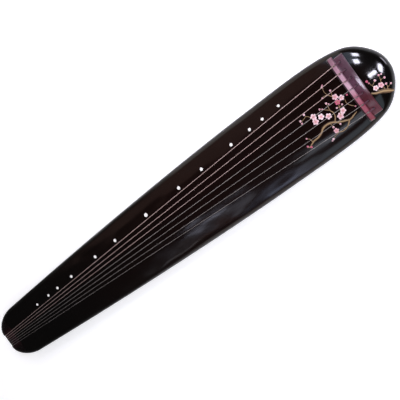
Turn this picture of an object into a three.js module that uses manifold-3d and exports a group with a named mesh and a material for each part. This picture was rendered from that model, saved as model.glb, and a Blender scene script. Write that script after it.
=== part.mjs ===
// Guqin: a seven-string zither with a hollow lacquered body, on two feet and two peg guards.
// Millimetres. X points to the head, Y to the side with the markers, Z up.
// The origin lies on the table, under the middle of the body.
// A place along the body is given as its distance from the head end.

import * as THREE from 'three';
import { mergeVertices } from 'three/addons/utils/BufferGeometryUtils.js';
import Module from 'manifold-3d';

const wasm = await Module();
wasm.setup();

// Body outline, seen from above
const bodyLength = 1220;
const bodyWidth = 196.8;
const widestFromHead = 366;
const headRoundLength = 70.6;
const headNarrowing = 46.2;
const tailNarrowing = 33;
const tailCornerLength = 65.4;
const tailEndWidth = 38.4;
const headRoundPower = 2.455;
const headNarrowingPower = 5.8;
const tailNarrowingPower = 1.6;

// Body section
const restHeight = 29;
const bottomBoardThick = 11;
const thickAtHead = 42;
const thickAtMiddle = 47.5;
const thickAtTail = 42;
const thickestFromHead = 390;
const archDropAtHead = 13;
const archDropAtMiddle = 16;
const archDropAtTail = 6;
const topEdgeRoundWidth = 11;
const topEdgeRoundDepth = 8;
const topEdgeShareAtTail = 0.4;
const topEdgeFadesFrom = 600;
const bottomEdgeChamfer = 3;
const wallThick = 18;
const roofThick = 11;
const chamberFromHead = 165;
const chamberToTail = 110;

// Fits
const gap = 0.3;
const cutOverrun = 10;

// Strings
const stringCount = 7;
const bridgeFromHead = 98.5;
const nutToTailEnd = 14.5;
const outerStringInset = 19.3;
const stringInsetAtNut = 1.2;
const thickestString = 1.4;
const thinnestString = 0.8;
const knotRadius = 1.9;
const knotLength = 4.4;
const windingGap = 0.5;
const windingTurns = 2;
const farFootStringCount = 4;

// Bridge, head plate and nuts
const bridgeThick = 12.5;
const bridgeEndInset = 11.449;
const bridgeRise = 17;
const bridgeInlay = 4;
const bridgeEndRound = 6;
const notchDepth = 0.5;
const notchWidth = 2.4;
const headPlateRise = 6;
const headPlateLength = 21.5;
const headPlateEndInset = 6;
const headPlateInlay = 2.5;
const headPlateEndRound = 3;
const nutLength = 30;
const nutRise = 2.3;
const nutDepth = 12;
const nutEndRound = 4.4;
const lowerNutLength = 20;
const lowerNutDrop = 2;
const lowerNutDepth = 7;
const lowerNutRound = 3;

// Tail end
const tailHornWidth = 1.2;
const tailNotchDepth = 4.5;
const tailCapLength = 36;
const tailCapSlant = 12;
const tailCapDepth = 20;

// Pegs and tufts
const pegRadius = 7.6;
const pegFootRadius = 6.6;
const pegLength = 45;
const pegChamfer = 1.2;
const pegHeadThick = 4;
const pegNeckRadius = 5;
const pegNeckLength = 8;
const pegBoreRadius = 1.9;
const pegsBehindBridge = 9;
const pegPoolEndRoom = 7.7;
const pegPoolWidth = 26;
const pegPoolDepth = 19;
const tuftRadius = 1.5;
const tuftHoleRadius = 2.75;
const tuftInPeg = 26;
const tuftRise = 2.2;
const tuftBendShares = [[0.22, 0.06], [0.64, 0.28], [0.93, 0.65]];
const wrapThick = 1.9;

// Peg guards and feet
const guardLength = 42;
const guardThick = 12;
const guardFromHead = 110;
const guardInset = 6.835;
const guardTaper = 1.5;
const guardTenonLength = 24;
const guardTenonThick = 6;
const guardTenonDepth = 8;
const footPlaceShare = 0.7;
const footBlockFromWall = 6.835;
const footRadius = 14.5;
const footNeckRadius = 12.2;
const footLip = 3.2;
const footTopLip = 1.6;
const footTenonSide = 12;
const footTenonLength = 24;
const footBlockLength = 44;
const footBlockWidth = 34;
const footBlockHeight = 15;

// Sound holes, posts and the thicker roof above each hole
const dragonPoolLength = 205;
const dragonPoolPlaceShare = 0.397;
const phoenixPondLength = 110;
const phoenixPondPlaceShare = 0.788;
const soundHoleWidth = 26;
const trimWidth = 3;
const trimDepth = 4;
const frontPostPlaceShare = 0.225;
const rearPostPlaceShare = 0.55;
const postWidth = 16;
const roofPadWidth = 58;
const roofPadMargin = 14;
const roofPadThick = 6;

// Markers
const markerOffset = 10.3;
const largestMarkerRadius = 4.9;
const markerThick = 2;
const markerProud = 0.3;
const nearMarkerShares = [1 / 8, 1 / 6, 1 / 5, 1 / 4, 1 / 3, 2 / 5];
const markerShares = [...nearMarkerShares, 1 / 2, ...nearMarkerShares.map((share) => 1 - share).reverse()];
const nearRadiusShares = [0.66, 0.7, 0.74, 0.78, 0.82, 0.86];
const markerRadiusShares = [...nearRadiusShares, 1, ...nearRadiusShares.toReversed()];

// Facet counts
const headSteps = 9;
const sideSteps = 10;
const tailSteps = 6;
const archSteps = 16;
const roundSteps = 12;
const holeSides = 8;
const stringSides = 6;
const knotSteps = 4;
const ringShares = [0.82, 0.6, 0.32];
const topRoundShares = [0, 0.12, 0.45, 1];

// Colours and finishes
const lacquer = { color: 0x1a1413, roughness: 0.18, metalness: 0 };
const rosewood = { color: 0x6e2c3c, roughness: 0.3, metalness: 0 };
const darkRosewood = { color: 0x381820, roughness: 0.3, metalness: 0 };
const bareWood = { color: 0xb08a5c, roughness: 0.7, metalness: 0 };
const pearl = { color: 0xf4f2ec, roughness: 0.2, metalness: 0 };
const stringFinish = { color: 0xbfa6a2, roughness: 0.35, metalness: 0.4 };
const silk = { color: 0x8c2f38, roughness: 0.8, metalness: 0 };

const half = (size) => size / 2;
const guqin = new THREE.Group();

function addMesh(name, geometry, finish) {
  const mesh = new THREE.Mesh(geometry, new THREE.MeshStandardMaterial(finish));
  mesh.name = name;
  guqin.add(mesh);
  return mesh;
}

// Closed solids for cutting and joining
function toSolid(geometry) {
  const bare = geometry.clone();
  bare.deleteAttribute('normal');
  bare.deleteAttribute('uv');
  const merged = mergeVertices(bare);
  return new wasm.Manifold(new wasm.Mesh({
    numProp: 3,
    vertProperties: new Float32Array(merged.attributes.position.array),
    triVerts: new Uint32Array(merged.index.array),
  }));
}

function toGeometry(solid) {
  const mesh = solid.getMesh();
  const geometry = new THREE.BufferGeometry();
  geometry.setAttribute('position', new THREE.BufferAttribute(new Float32Array(mesh.vertProperties), 3));
  geometry.setIndex(Array.from(mesh.triVerts));
  geometry.computeVertexNormals();
  return geometry;
}

function cut(geometry, cutters) {
  return toGeometry(cutters.reduce((body, cutter) => body.subtract(toSolid(cutter)), toSolid(geometry)));
}

// Outline and height of the body, from the distance to the head end
function sideHalfWidth(u) {
  if (u > widestFromHead) {
    const share = (u - widestFromHead) / (bodyLength - widestFromHead);
    return half(bodyWidth) - tailNarrowing * share ** tailNarrowingPower;
  }
  return half(bodyWidth) - headNarrowing * ((widestFromHead - u) / widestFromHead) ** headNarrowingPower;
}

function outlineHalfWidth(u) {
  const headShare = Math.max(0, 1 - u / headRoundLength);
  const headRound = (1 - headShare ** headRoundPower) ** (1 / headRoundPower);
  const wide = sideHalfWidth(u) * headRound;
  const tailShare = Math.max(0, (u - bodyLength + tailCornerLength) / tailCornerLength);
  const tailRound = Math.sqrt(Math.max(0, 1 - tailShare ** 2));
  return tailShare > 0 ? half(tailEndWidth) + (wide - half(tailEndWidth)) * tailRound : wide;
}

// 0 at either end of the body and 1 where it is thickest
function middleShare(u) {
  const toHead = (u - headRoundLength) / (thickestFromHead - headRoundLength);
  const toTail = (bodyLength - u) / (bodyLength - thickestFromHead);
  const share = THREE.MathUtils.clamp(Math.min(toHead, toTail), 0, 1);
  return (1 - Math.cos(Math.PI * share)) / 2;
}

function surfaceHeight(u, y) {
  const endThick = u < thickestFromHead ? thickAtHead : thickAtTail;
  const thick = endThick + (thickAtMiddle - endThick) * middleShare(u);
  const endDrop = u < thickestFromHead ? archDropAtHead : archDropAtTail;
  const drop = endDrop + (archDropAtMiddle - endDrop) * middleShare(u);
  const across = (Math.abs(y) / sideHalfWidth(u)) ** headRoundPower;
  const along = Math.max(0, 1 - u / headRoundLength) ** headRoundPower;
  return restHeight + thick - drop * across - archDropAtHead * along;
}

const toX = (u) => half(bodyLength) - u;
const toU = (x) => half(bodyLength) - x;
const boardSeam = restHeight + bottomBoardThick;

// Points round an outline, from the head end along +Y to the tail and back along -Y
function mirrored(stations) {
  const far = stations.map(([u, y]) => new THREE.Vector2(toX(u), y));
  const near = far.filter((point) => point.y > 0).map((point) => new THREE.Vector2(point.x, -point.y));
  return far.concat(near.reverse());
}

function bodyOutline() {
  const places = [];
  for (let step = 0; step <= headSteps; step += 1) {
    const angle = (Math.PI / 2) * (step / headSteps);
    places.push(headRoundLength * (1 - Math.cos(angle) ** (2 / headRoundPower)));
  }
  const cornerStart = bodyLength - tailCornerLength;
  for (let step = 1; step <= sideSteps; step += 1) {
    places.push(headRoundLength + (cornerStart - headRoundLength) * (step / sideSteps));
  }
  for (let step = 1; step <= tailSteps; step += 1) {
    places.push(cornerStart + tailCornerLength * Math.sin((Math.PI / 2) * (step / tailSteps)));
  }
  return mirrored(places.map((u) => [u, u > 0 ? outlineHalfWidth(u) : 0]));
}

function chamberOutline() {
  const places = [];
  const end = bodyLength - chamberToTail;
  for (let step = 0; step <= sideSteps; step += 1) {
    places.push(chamberFromHead + (end - chamberFromHead) * (step / sideSteps));
  }
  return mirrored(places.map((u) => [u, outlineHalfWidth(u) - wallThick]));
}

// Closed body from rings of points that all follow one outline
function loft(rings) {
  const positions = [];
  const count = rings[0].length;
  const put = (a, b, c) => {
    const same = a.distanceTo(b) === 0 || b.distanceTo(c) === 0 || c.distanceTo(a) === 0;
    if (!same) {
      positions.push(...a.toArray(), ...b.toArray(), ...c.toArray());
    }
  };
  for (let ring = 0; ring + 1 < rings.length; ring += 1) {
    for (let k = 0; k < count; k += 1) {
      const next = (k + 1) % count;
      put(rings[ring][k], rings[ring][next], rings[ring + 1][next]);
      put(rings[ring][k], rings[ring + 1][next], rings[ring + 1][k]);
    }
  }
  const geometry = new THREE.BufferGeometry();
  geometry.setAttribute('position', new THREE.Float32BufferAttribute(positions, 3));
  return geometry;
}

// One ring: the outline drawn in towards the middle line, by a distance or by a share of the way
function drawnIn(outline, inset, share, heightAt) {
  const head = toX(half(bodyWidth));
  const tail = -head;
  return outline.map((point) => {
    const middle = new THREE.Vector2(THREE.MathUtils.clamp(point.x, tail, head), 0);
    const reach = share * (1 - inset / point.distanceTo(middle));
    const place = middle.clone().lerp(point, reach);
    return new THREE.Vector3(place.x, place.y, heightAt(place));
  });
}

// How deep the top edge is rounded there: in full at the head, less towards the tail
function edgeShare(u) {
  const toTail = Math.max(0, (u - topEdgeFadesFrom) / (bodyLength - topEdgeFadesFrom));
  return 1 - (1 - topEdgeShareAtTail) * toTail;
}

function roundedTop(inset) {
  const left = 1 - inset / topEdgeRoundWidth;
  const dip = topEdgeRoundDepth * (1 - Math.sqrt(Math.max(0, 1 - left ** 2)));
  return (place) => surfaceHeight(toU(place.x), place.y) - dip * edgeShare(toU(place.x));
}

const bodyRing = bodyOutline();
const roundInsets = topRoundShares.map((share) => share * topEdgeRoundWidth);

function topBoardBody() {
  return loft([
    drawnIn(bodyRing, 0, 0, () => boardSeam),
    drawnIn(bodyRing, 0, 1, () => boardSeam),
    ...roundInsets.map((inset) => drawnIn(bodyRing, inset, 1, roundedTop(inset))),
    ...ringShares.map((share) => drawnIn(bodyRing, 0, share, roundedTop(topEdgeRoundWidth))),
    drawnIn(bodyRing, 0, 0, roundedTop(topEdgeRoundWidth)),
  ]);
}

function chamberBody() {
  const chamber = chamberOutline();
  const roof = (place) => surfaceHeight(toU(place.x), place.y) - roofThick;
  const floor = () => boardSeam - cutOverrun;
  return loft([
    drawnIn(chamber, 0, 0, floor),
    drawnIn(chamber, 0, 1, floor),
    drawnIn(chamber, 0, 1, roof),
    ...ringShares.map((share) => drawnIn(chamber, 0, share, roof)),
    drawnIn(chamber, 0, 0, roof),
  ]);
}

// Plain shapes between two corners, extruded along one axis
function block(low, high) {
  const size = high.map((value, axis) => value - low[axis]);
  const middle = high.map((value, axis) => half(value + low[axis]));
  return new THREE.BoxGeometry(...size).translate(...middle);
}

function polygon(points) {
  return new THREE.Shape(points.map(([a, b]) => new THREE.Vector2(a, b)));
}

function extruded(shape, depth) {
  return new THREE.ExtrudeGeometry(shape, { depth, bevelEnabled: false, curveSegments: roundSteps });
}

// A section of (y, z) points carried along X
function alongX(points, start, end) {
  const turn = new THREE.Matrix4().makeBasis(
    new THREE.Vector3(0, 1, 0),
    new THREE.Vector3(0, 0, 1),
    new THREE.Vector3(1, 0, 0),
  );
  return extruded(polygon(points), end - start).applyMatrix4(turn).translate(start, 0, 0);
}

// A section of (x, z) points carried along Y, about the middle
function alongY(points, width) {
  return extruded(polygon(points), width).rotateX(Math.PI / 2).translate(0, half(width), 0);
}

function upright(shape, low, high) {
  return extruded(shape, high - low).translate(0, 0, low);
}

// A round-ended slot seen from above
function slotShape(middleX, length, width) {
  const radius = half(width);
  const reach = half(length) - radius;
  const shape = new THREE.Shape();
  shape.absarc(middleX + reach, 0, radius, -Math.PI / 2, Math.PI / 2, false);
  shape.absarc(middleX - reach, 0, radius, Math.PI / 2, (3 * Math.PI) / 2, false);
  return shape;
}

function cylinderAt(x, y, radius, low, high, sides) {
  const turned = new THREE.CylinderGeometry(radius, radius, high - low, sides).rotateX(Math.PI / 2);
  return turned.translate(x, y, half(low + high));
}

// A lathe profile of (radius, height) points, turned about an upright axis
function turnedAt(x, y, profile, sides) {
  const points = profile.map(([radius, height]) => new THREE.Vector2(radius, height));
  return new THREE.LatheGeometry(points, sides).rotateX(Math.PI / 2).translate(x, y, 0);
}

// Where each string lies
const bridgeX = toX(bridgeFromHead);
const stringLength = bodyLength - bridgeFromHead - nutToTailEnd;
const nutX = bridgeX - stringLength;
const notchX = -half(bodyLength) + tailNotchDepth;
const tailNotchWidth = tailEndWidth - 2 * tailHornWidth;
const bridgeWidth = 2 * (outlineHalfWidth(bridgeFromHead) - bridgeEndInset);
const headPlateWidth = bridgeWidth - 2 * headPlateEndInset;
const stringSpreadAtBridge = bridgeWidth - 2 * outerStringInset;
const stringSpreadAtNut = tailNotchWidth - 2 * stringInsetAtNut;
const pegPoolLength = stringSpreadAtBridge + 2 * (pegRadius + pegPoolEndRoom);
const stringShare = (number) => 1 / 2 - number / (stringCount - 1);
const stringAtBridge = (number) => stringSpreadAtBridge * stringShare(number);
const stringAtNut = (number) => stringSpreadAtNut * stringShare(number);
const stringRadius = (number) => half(
  thickestString + (thinnestString - thickestString) * (number / (stringCount - 1)),
);
const bridgeMiddleU = bridgeFromHead - half(bridgeThick);
const bridgeTop = (y) => surfaceHeight(bridgeMiddleU, y) + bridgeRise;
const nutTop = surfaceHeight(toU(nutX), 0) + nutRise;
const pegX = bridgeX + bridgeThick + pegsBehindBridge;
const pegTop = restHeight + pegPoolDepth - gap;

// A cross strip that follows the arch of the body: the bridge, the head plate and their seats
function archedStrip(start, end, width, lift, depth, endRound, notches) {
  const u = toU(half(start + end));
  const ys = [];
  for (let step = 0; step <= archSteps; step += 1) {
    ys.push(width * (step / archSteps) - half(width));
  }
  const under = ys.map((y) => [y, surfaceHeight(u, y) - depth]);
  const over = [];
  const flat = half(width) - endRound;
  for (let step = 0; step <= archSteps; step += 1) {
    const y = -flat + 2 * flat * (step / archSteps);
    const nearNotch = notches.some((place) => Math.abs(place - y) < notchWidth);
    if (!nearNotch) {
      over.push([y, surfaceHeight(u, y) + lift]);
    }
  }
  notches.forEach((place) => {
    const top = surfaceHeight(u, place) + lift;
    over.push([place - half(notchWidth), top], [place, top - notchDepth], [place + half(notchWidth), top]);
  });
  over.sort((a, b) => b[0] - a[0]);
  const shoulder = (side) => {
    const y = side * (half(width) - endRound * (1 - Math.SQRT1_2));
    return [y, surfaceHeight(u, y) + lift - endRound * (1 - Math.SQRT1_2)];
  };
  const tip = (side) => [side * half(width), surfaceHeight(u, half(width)) + lift - endRound];
  const ends = endRound > 0 ? [[tip(1), shoulder(1)], [shoulder(-1), tip(-1)]] : [[], []];
  return alongX([...under, ...ends[0], ...over, ...ends[1]], start, end);
}

const stringNumbers = Array.from({ length: stringCount }, (_, number) => number);
const bridgePlaces = stringNumbers.map(stringAtBridge);
const bridgeEnd = bridgeX + bridgeThick;
const plateStart = bridgeEnd + gap;
const plateEnd = plateStart + headPlateLength;

function bridge() {
  return archedStrip(bridgeX, bridgeEnd, bridgeWidth, bridgeRise, bridgeInlay, bridgeEndRound, bridgePlaces);
}

function tuftHoles(low, high) {
  return bridgePlaces.map((y) => cylinderAt(pegX, y, tuftHoleRadius, low, high, holeSides));
}

function headPlate() {
  const solid = archedStrip(
    plateStart, plateEnd, headPlateWidth, headPlateRise, headPlateInlay, headPlateEndRound, [],
  );
  const low = restHeight + pegPoolDepth - half(cutOverrun);
  return cut(solid, tuftHoles(low, bridgeTop(0)));
}

// The seats of the bridge and the head plate, a little larger than what they hold
function seats() {
  const bridgeSeat = archedStrip(
    bridgeX - gap, bridgeEnd + gap, bridgeWidth + 2 * gap, cutOverrun, bridgeInlay + gap, 0, [],
  );
  const plateSeat = archedStrip(
    bridgeEnd, plateEnd + gap, headPlateWidth + 2 * gap, cutOverrun, headPlateInlay + gap, 0, [],
  );
  return [bridgeSeat, plateSeat];
}

// Nut on the tail, with its crest where the strings stop
function nutSection() {
  const front = notchX + nutLength;
  const low = nutTop - nutDepth;
  return [
    [notchX, low],
    [front, low],
    [front, surfaceHeight(toU(front), 0)],
    [nutX, nutTop],
    [notchX + nutEndRound, nutTop - half(nutRise)],
    [notchX, nutTop - nutEndRound],
  ];
}

function lowerNutSection() {
  const low = restHeight - lowerNutDrop;
  const front = notchX + lowerNutLength;
  return [
    [notchX, restHeight + lowerNutDepth],
    [notchX, low + lowerNutRound],
    [notchX + lowerNutRound * (1 - Math.SQRT1_2), low + lowerNutRound * (1 - Math.SQRT1_2)],
    [notchX + lowerNutRound, low],
    [front - lowerNutDrop, low],
    [front, restHeight],
    [front, restHeight + lowerNutDepth],
  ];
}

// The two corner caps of the tail, one each side of the nut
function tailCapShape(grow) {
  const inner = half(tailNotchWidth) + gap - grow;
  const outer = half(bodyWidth);
  const front = toX(bodyLength - tailCapLength) + grow;
  const slanted = front - tailCapSlant;
  const behind = -half(bodyLength) - cutOverrun;
  return [[behind, inner], [front, inner], [slanted, outer], [behind, outer]];
}

function tailCapPrism(side, grow) {
  const points = tailCapShape(grow).map(([x, y]) => [x, y * side]);
  const ordered = side > 0 ? points : points.reverse();
  const low = surfaceHeight(toU(nutX), 0) - tailCapDepth;
  return upright(polygon(ordered), low, nutTop + cutOverrun);
}

function tailCap(side) {
  return toGeometry(toSolid(topBoardBody()).intersect(toSolid(tailCapPrism(side, 0))));
}

function tailNotch() {
  return block(
    [-half(bodyLength) - cutOverrun, -half(tailNotchWidth), 0],
    [notchX, half(tailNotchWidth), nutTop + cutOverrun],
  );
}

function nutSeat() {
  const low = nutTop - nutDepth;
  return block(
    [notchX - cutOverrun, -half(tailNotchWidth), low],
    [notchX + nutLength + gap, half(tailNotchWidth), nutTop + cutOverrun],
  );
}

function lowerNutSeat() {
  return block(
    [notchX - cutOverrun, -half(tailNotchWidth), restHeight - cutOverrun],
    [notchX + lowerNutLength + gap, half(tailNotchWidth), restHeight + lowerNutDepth],
  );
}

// Markers, set square to the arched surface
function markerPlace(share) {
  const x = bridgeX - stringLength * share;
  const outerString = stringAtBridge(0) + (stringAtNut(0) - stringAtBridge(0)) * share;
  const y = outerString + markerOffset;
  const u = toU(x);
  const reach = markerThick;
  const alongSlope = (surfaceHeight(u - reach, y) - surfaceHeight(u + reach, y)) / (2 * reach);
  const acrossSlope = (surfaceHeight(u, y + reach) - surfaceHeight(u, y - reach)) / (2 * reach);
  const up = new THREE.Vector3(-alongSlope, -acrossSlope, 1).normalize();
  const turn = new THREE.Quaternion().setFromUnitVectors(new THREE.Vector3(0, 0, 1), up);
  return { turn, place: new THREE.Vector3(x, y, surfaceHeight(u, y)) };
}

function markerDisc(share, radius, low, high) {
  const { turn, place } = markerPlace(share);
  const disc = new THREE.CylinderGeometry(radius, radius, high - low, roundSteps).rotateX(Math.PI / 2);
  return disc.translate(0, 0, half(low + high)).applyQuaternion(turn).translate(...place.toArray());
}

const markerRadius = (index) => largestMarkerRadius * markerRadiusShares[index];

function markerRecesses() {
  return markerShares.map((share, index) => markerDisc(
    share, markerRadius(index) + gap, markerProud - markerThick, cutOverrun,
  ));
}

// Peg pool under the head
function pegPool() {
  const low = restHeight - cutOverrun;
  const shape = slotShape(0, pegPoolLength, pegPoolWidth);
  const turned = upright(shape, low, restHeight + pegPoolDepth).rotateZ(Math.PI / 2);
  return turned.translate(pegX, 0, 0);
}

// Feet and their blocks inside the body
const footX = bridgeX - stringLength * footPlaceShare;
const footWall = outlineHalfWidth(toU(footX)) - wallThick;
const footY = footWall - footBlockFromWall - half(footBlockWidth);
const farAndNear = [['far', 1], ['near', -1]];
const footTenonTop = restHeight + footTenonLength;

function foot(side) {
  const y = side * footY;
  const neckTop = restHeight - footTopLip;
  const slope = footRadius - footNeckRadius;
  const spool = turnedAt(footX, y, [
    [0, 0],
    [footRadius - half(slope), 0],
    [footRadius, half(slope)],
    [footRadius, footLip],
    [footNeckRadius, footLip + half(slope)],
    [footNeckRadius, neckTop - half(slope)],
    [footRadius, neckTop],
    [footRadius, restHeight],
    [0, restHeight],
  ], roundSteps);
  const tenon = footTenon(side, 0, neckTop, footTenonTop);
  return toGeometry(toSolid(spool).add(toSolid(tenon)));
}

function footTenon(side, grow, low, high) {
  const y = side * footY;
  const reach = half(footTenonSide) + grow;
  return block([footX - reach, y - reach, low], [footX + reach, y + reach, high]);
}

const mortise = (side) => footTenon(side, gap, restHeight - cutOverrun, footTenonTop + cutOverrun);

function footBlock(side) {
  const y = side * footY;
  const solid = block(
    [footX - half(footBlockLength), y - half(footBlockWidth), boardSeam],
    [footX + half(footBlockLength), y + half(footBlockWidth), boardSeam + footBlockHeight],
  );
  return cut(solid, [mortise(side)]);
}

// Peg guards, tapered blocks with a tenon each
const guardX = toX(guardFromHead);
const guardY = outlineHalfWidth(guardFromHead) - guardInset - half(guardThick);

function guardTenon(side, grow) {
  const reachX = half(guardTenonLength) + grow;
  const reachY = half(guardTenonThick) + grow;
  return block(
    [guardX - reachX, side * guardY - reachY, restHeight - guardTenonDepth],
    [guardX + reachX, side * guardY + reachY, restHeight + guardTenonDepth],
  );
}

function pegGuard(side) {
  const wideX = half(guardLength);
  const section = [
    [guardX - wideX + guardTaper, 0],
    [guardX + wideX - guardTaper, 0],
    [guardX + wideX, guardTaper],
    [guardX + wideX, restHeight],
    [guardX - wideX, restHeight],
    [guardX - wideX, guardTaper],
  ];
  const body = alongY(section, guardThick).translate(0, side * guardY, 0);
  return toGeometry(toSolid(body).add(toSolid(guardTenon(side, 0))));
}

// Sound holes, with a trim set flush into the underside of each
const soundHoles = [
  { name: 'dragon_pool_trim', placeShare: dragonPoolPlaceShare, length: dragonPoolLength },
  { name: 'phoenix_pond_trim', placeShare: phoenixPondPlaceShare, length: phoenixPondLength },
].map((hole) => ({ ...hole, middle: bridgeX - stringLength * hole.placeShare }));

function soundHoleCuts({ middle, length }) {
  const high = boardSeam + cutOverrun;
  const low = restHeight - cutOverrun;
  const through = slotShape(middle, length, soundHoleWidth);
  const step = 2 * (trimWidth + gap);
  const rebate = slotShape(middle, length + step, soundHoleWidth + step);
  return [upright(through, low, high), upright(rebate, low, restHeight + trimDepth)];
}

function soundHoleTrim({ middle, length }) {
  const rim = 2 * trimWidth;
  const outline = slotShape(middle, length + rim, soundHoleWidth + rim);
  const hole = slotShape(middle, length, soundHoleWidth);
  const ring = upright(outline, restHeight, restHeight + trimDepth);
  return cut(ring, [upright(hole, restHeight - cutOverrun, boardSeam)]);
}

function roofPads() {
  return soundHoles.map(({ middle, length }) => {
    const reach = half(length) + roofPadMargin;
    const low = surfaceHeight(toU(middle), half(roofPadWidth)) - roofThick - roofPadThick;
    return block(
      [middle - reach, -half(roofPadWidth), low],
      [middle + reach, half(roofPadWidth), low + roofThick + roofPadThick + cutOverrun],
    );
  });
}

const chamber = roofPads().reduce((space, pad) => space.subtract(toSolid(pad)), toSolid(chamberBody()));

// Posts between the bottom board and the roof, a hair short of the roof
function post(shaft) {
  return toGeometry(toSolid(shaft).intersect(chamber.translate([0, 0, -gap])));
}

function frontPost() {
  const x = bridgeX - stringLength * frontPostPlaceShare;
  return post(cylinderAt(x, 0, half(postWidth), boardSeam, boardSeam + thickAtMiddle, roundSteps));
}

function rearPost() {
  const x = bridgeX - stringLength * rearPostPlaceShare;
  return post(block(
    [x - half(postWidth), -half(postWidth), boardSeam],
    [x + half(postWidth), half(postWidth), boardSeam + thickAtMiddle],
  ));
}

function topBoard() {
  const holes = tuftHoles(restHeight, bridgeTop(0) + cutOverrun);
  const cutters = [
    pegPool(),
    ...holes,
    ...seats(),
    ...markerRecesses(),
    ...farAndNear.map(([, side]) => tailCapPrism(side, gap)),
    tailNotch(),
    nutSeat(),
  ];
  return cut(toGeometry(toSolid(topBoardBody()).subtract(chamber)), cutters);
}

function bottomBoard() {
  const solid = loft([
    drawnIn(bodyRing, 0, 0, () => restHeight),
    drawnIn(bodyRing, bottomEdgeChamfer, 1, () => restHeight),
    drawnIn(bodyRing, 0, 1, () => restHeight + bottomEdgeChamfer),
    drawnIn(bodyRing, 0, 1, () => boardSeam),
    drawnIn(bodyRing, 0, 0, () => boardSeam),
  ]);
  return cut(solid, [
    pegPool(),
    ...soundHoles.flatMap(soundHoleCuts),
    ...farAndNear.map(([, side]) => mortise(side)),
    ...farAndNear.map(([, side]) => guardTenon(side, gap)),
    tailNotch(),
    lowerNutSeat(),
  ]);
}

// A cord with its own radius at each point, closed at both ends
function cord(points, radii, sides) {
  const rings = [];
  let across = new THREE.Vector3(0, 1, 0);
  points.forEach((point, index) => {
    const before = points[Math.max(0, index - 1)];
    const after = points[Math.min(points.length - 1, index + 1)];
    const ahead = after.clone().sub(before).normalize();
    across = across.clone().addScaledVector(ahead, -across.dot(ahead)).normalize();
    const other = ahead.clone().cross(across);
    const ring = [];
    for (let side = 0; side < sides; side += 1) {
      const angle = (2 * Math.PI * side) / sides;
      const reach = across.clone().multiplyScalar(Math.cos(angle));
      reach.addScaledVector(other, Math.sin(angle));
      ring.push(point.clone().addScaledVector(reach, radii[index]));
    }
    rings.push(ring);
  });
  const cap = (point) => Array.from({ length: sides }, () => point);
  return loft([cap(points[0]), ...rings, cap(points[points.length - 1])]);
}

const vector = (x, y, z) => new THREE.Vector3(x, y, z);

// The winding of one string on its foot: where it starts, and its turns
function windingStart(number) {
  const onFar = number < farFootStringCount;
  const first = onFar ? 0 : farFootStringCount;
  const neckTop = restHeight - footTopLip - half(footRadius - footNeckRadius);
  let height = neckTop - gap - stringRadius(first);
  for (let other = first; other < number; other += 1) {
    const pitch = 2 * stringRadius(other) + windingGap;
    height -= pitch * windingTurns + stringRadius(other) + stringRadius(other + 1) + windingGap;
  }
  return { side: onFar ? 1 : -1, height };
}

function winding(number) {
  const { side, height } = windingStart(number);
  const radius = stringRadius(number);
  const pitch = 2 * radius + windingGap;
  const reach = footNeckRadius + (radius + gap) / Math.cos(Math.PI / roundSteps);
  const points = [];
  for (let step = 0; step <= windingTurns * roundSteps; step += 1) {
    const angle = side * ((2 * Math.PI * step) / roundSteps - Math.PI / 2);
    const x = footX + reach * Math.cos(angle);
    const y = side * footY + reach * Math.sin(angle);
    points.push(vector(x, y, height - pitch * (step / roundSteps)));
  }
  return points;
}

// The whole way of one string, from the knot on the bridge to its end on the foot
function stringRoute(number) {
  const radius = stringRadius(number);
  const yBridge = stringAtBridge(number);
  const yNut = stringAtNut(number);
  const rest = radius + gap;
  const onBridge = bridgeTop(yBridge) + rest;
  const overNut = nutTop + rest;
  const tailX = notchX - rest;
  const underNut = restHeight - lowerNutDrop - rest;
  return [
    vector(bridgeX, yBridge, onBridge),
    vector(nutX, yNut, overNut),
    vector(notchX + nutEndRound, yNut, overNut - half(nutRise)),
    vector(notchX, yNut, nutTop - nutEndRound + 2 * rest),
    vector(tailX, yNut, nutTop - nutEndRound),
    vector(tailX, yNut, restHeight - lowerNutDrop + lowerNutRound),
    vector(notchX + lowerNutRound * (1 - Math.SQRT1_2) - rest * Math.SQRT1_2, yNut,
      restHeight - lowerNutDrop + lowerNutRound * (1 - Math.SQRT1_2) - rest * Math.SQRT1_2),
    vector(notchX + lowerNutRound, yNut, underNut),
    vector(notchX + lowerNutLength - lowerNutDrop, yNut, underNut),
    ...winding(number),
  ];
}

function knot(number) {
  const y = stringAtBridge(number);
  const height = bridgeTop(y) + knotRadius + gap;
  const shares = Array.from({ length: knotSteps + 1 }, (_, step) => step / knotSteps);
  const start = bridgeEnd - tuftRadius;
  const points = shares.map((share) => vector(start - knotLength * share, y, height));
  const radius = stringRadius(number);
  const radii = shares.map((share) => radius + (knotRadius - radius) * Math.sin(Math.PI * share));
  return { points, radii };
}

function string(number) {
  const tied = knot(number);
  const route = stringRoute(number);
  const radii = route.map(() => stringRadius(number));
  return cord([...tied.points, ...route], [...tied.radii, ...radii], stringSides);
}

// A silk tuft: from the knot over the edge of the bridge and down into the peg
function tuft(number) {
  const y = stringAtBridge(number);
  const top = bridgeTop(y);
  const start = bridgeEnd - tuftRadius + gap;
  const reach = pegX - bridgeEnd;
  const high = top + tuftRise;
  const low = top - bridgeRise + headPlateRise;
  const bends = tuftBendShares.map(([along, down]) => vector(
    bridgeEnd + reach * along, y, high - (high - low) * down,
  ));
  const fall = [vector(pegX, y, low), vector(pegX, y, pegTop - tuftInPeg)];
  const points = [vector(start, y, high), ...bends, ...fall];
  return cord(points, points.map(() => tuftRadius), stringSides);
}

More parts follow.
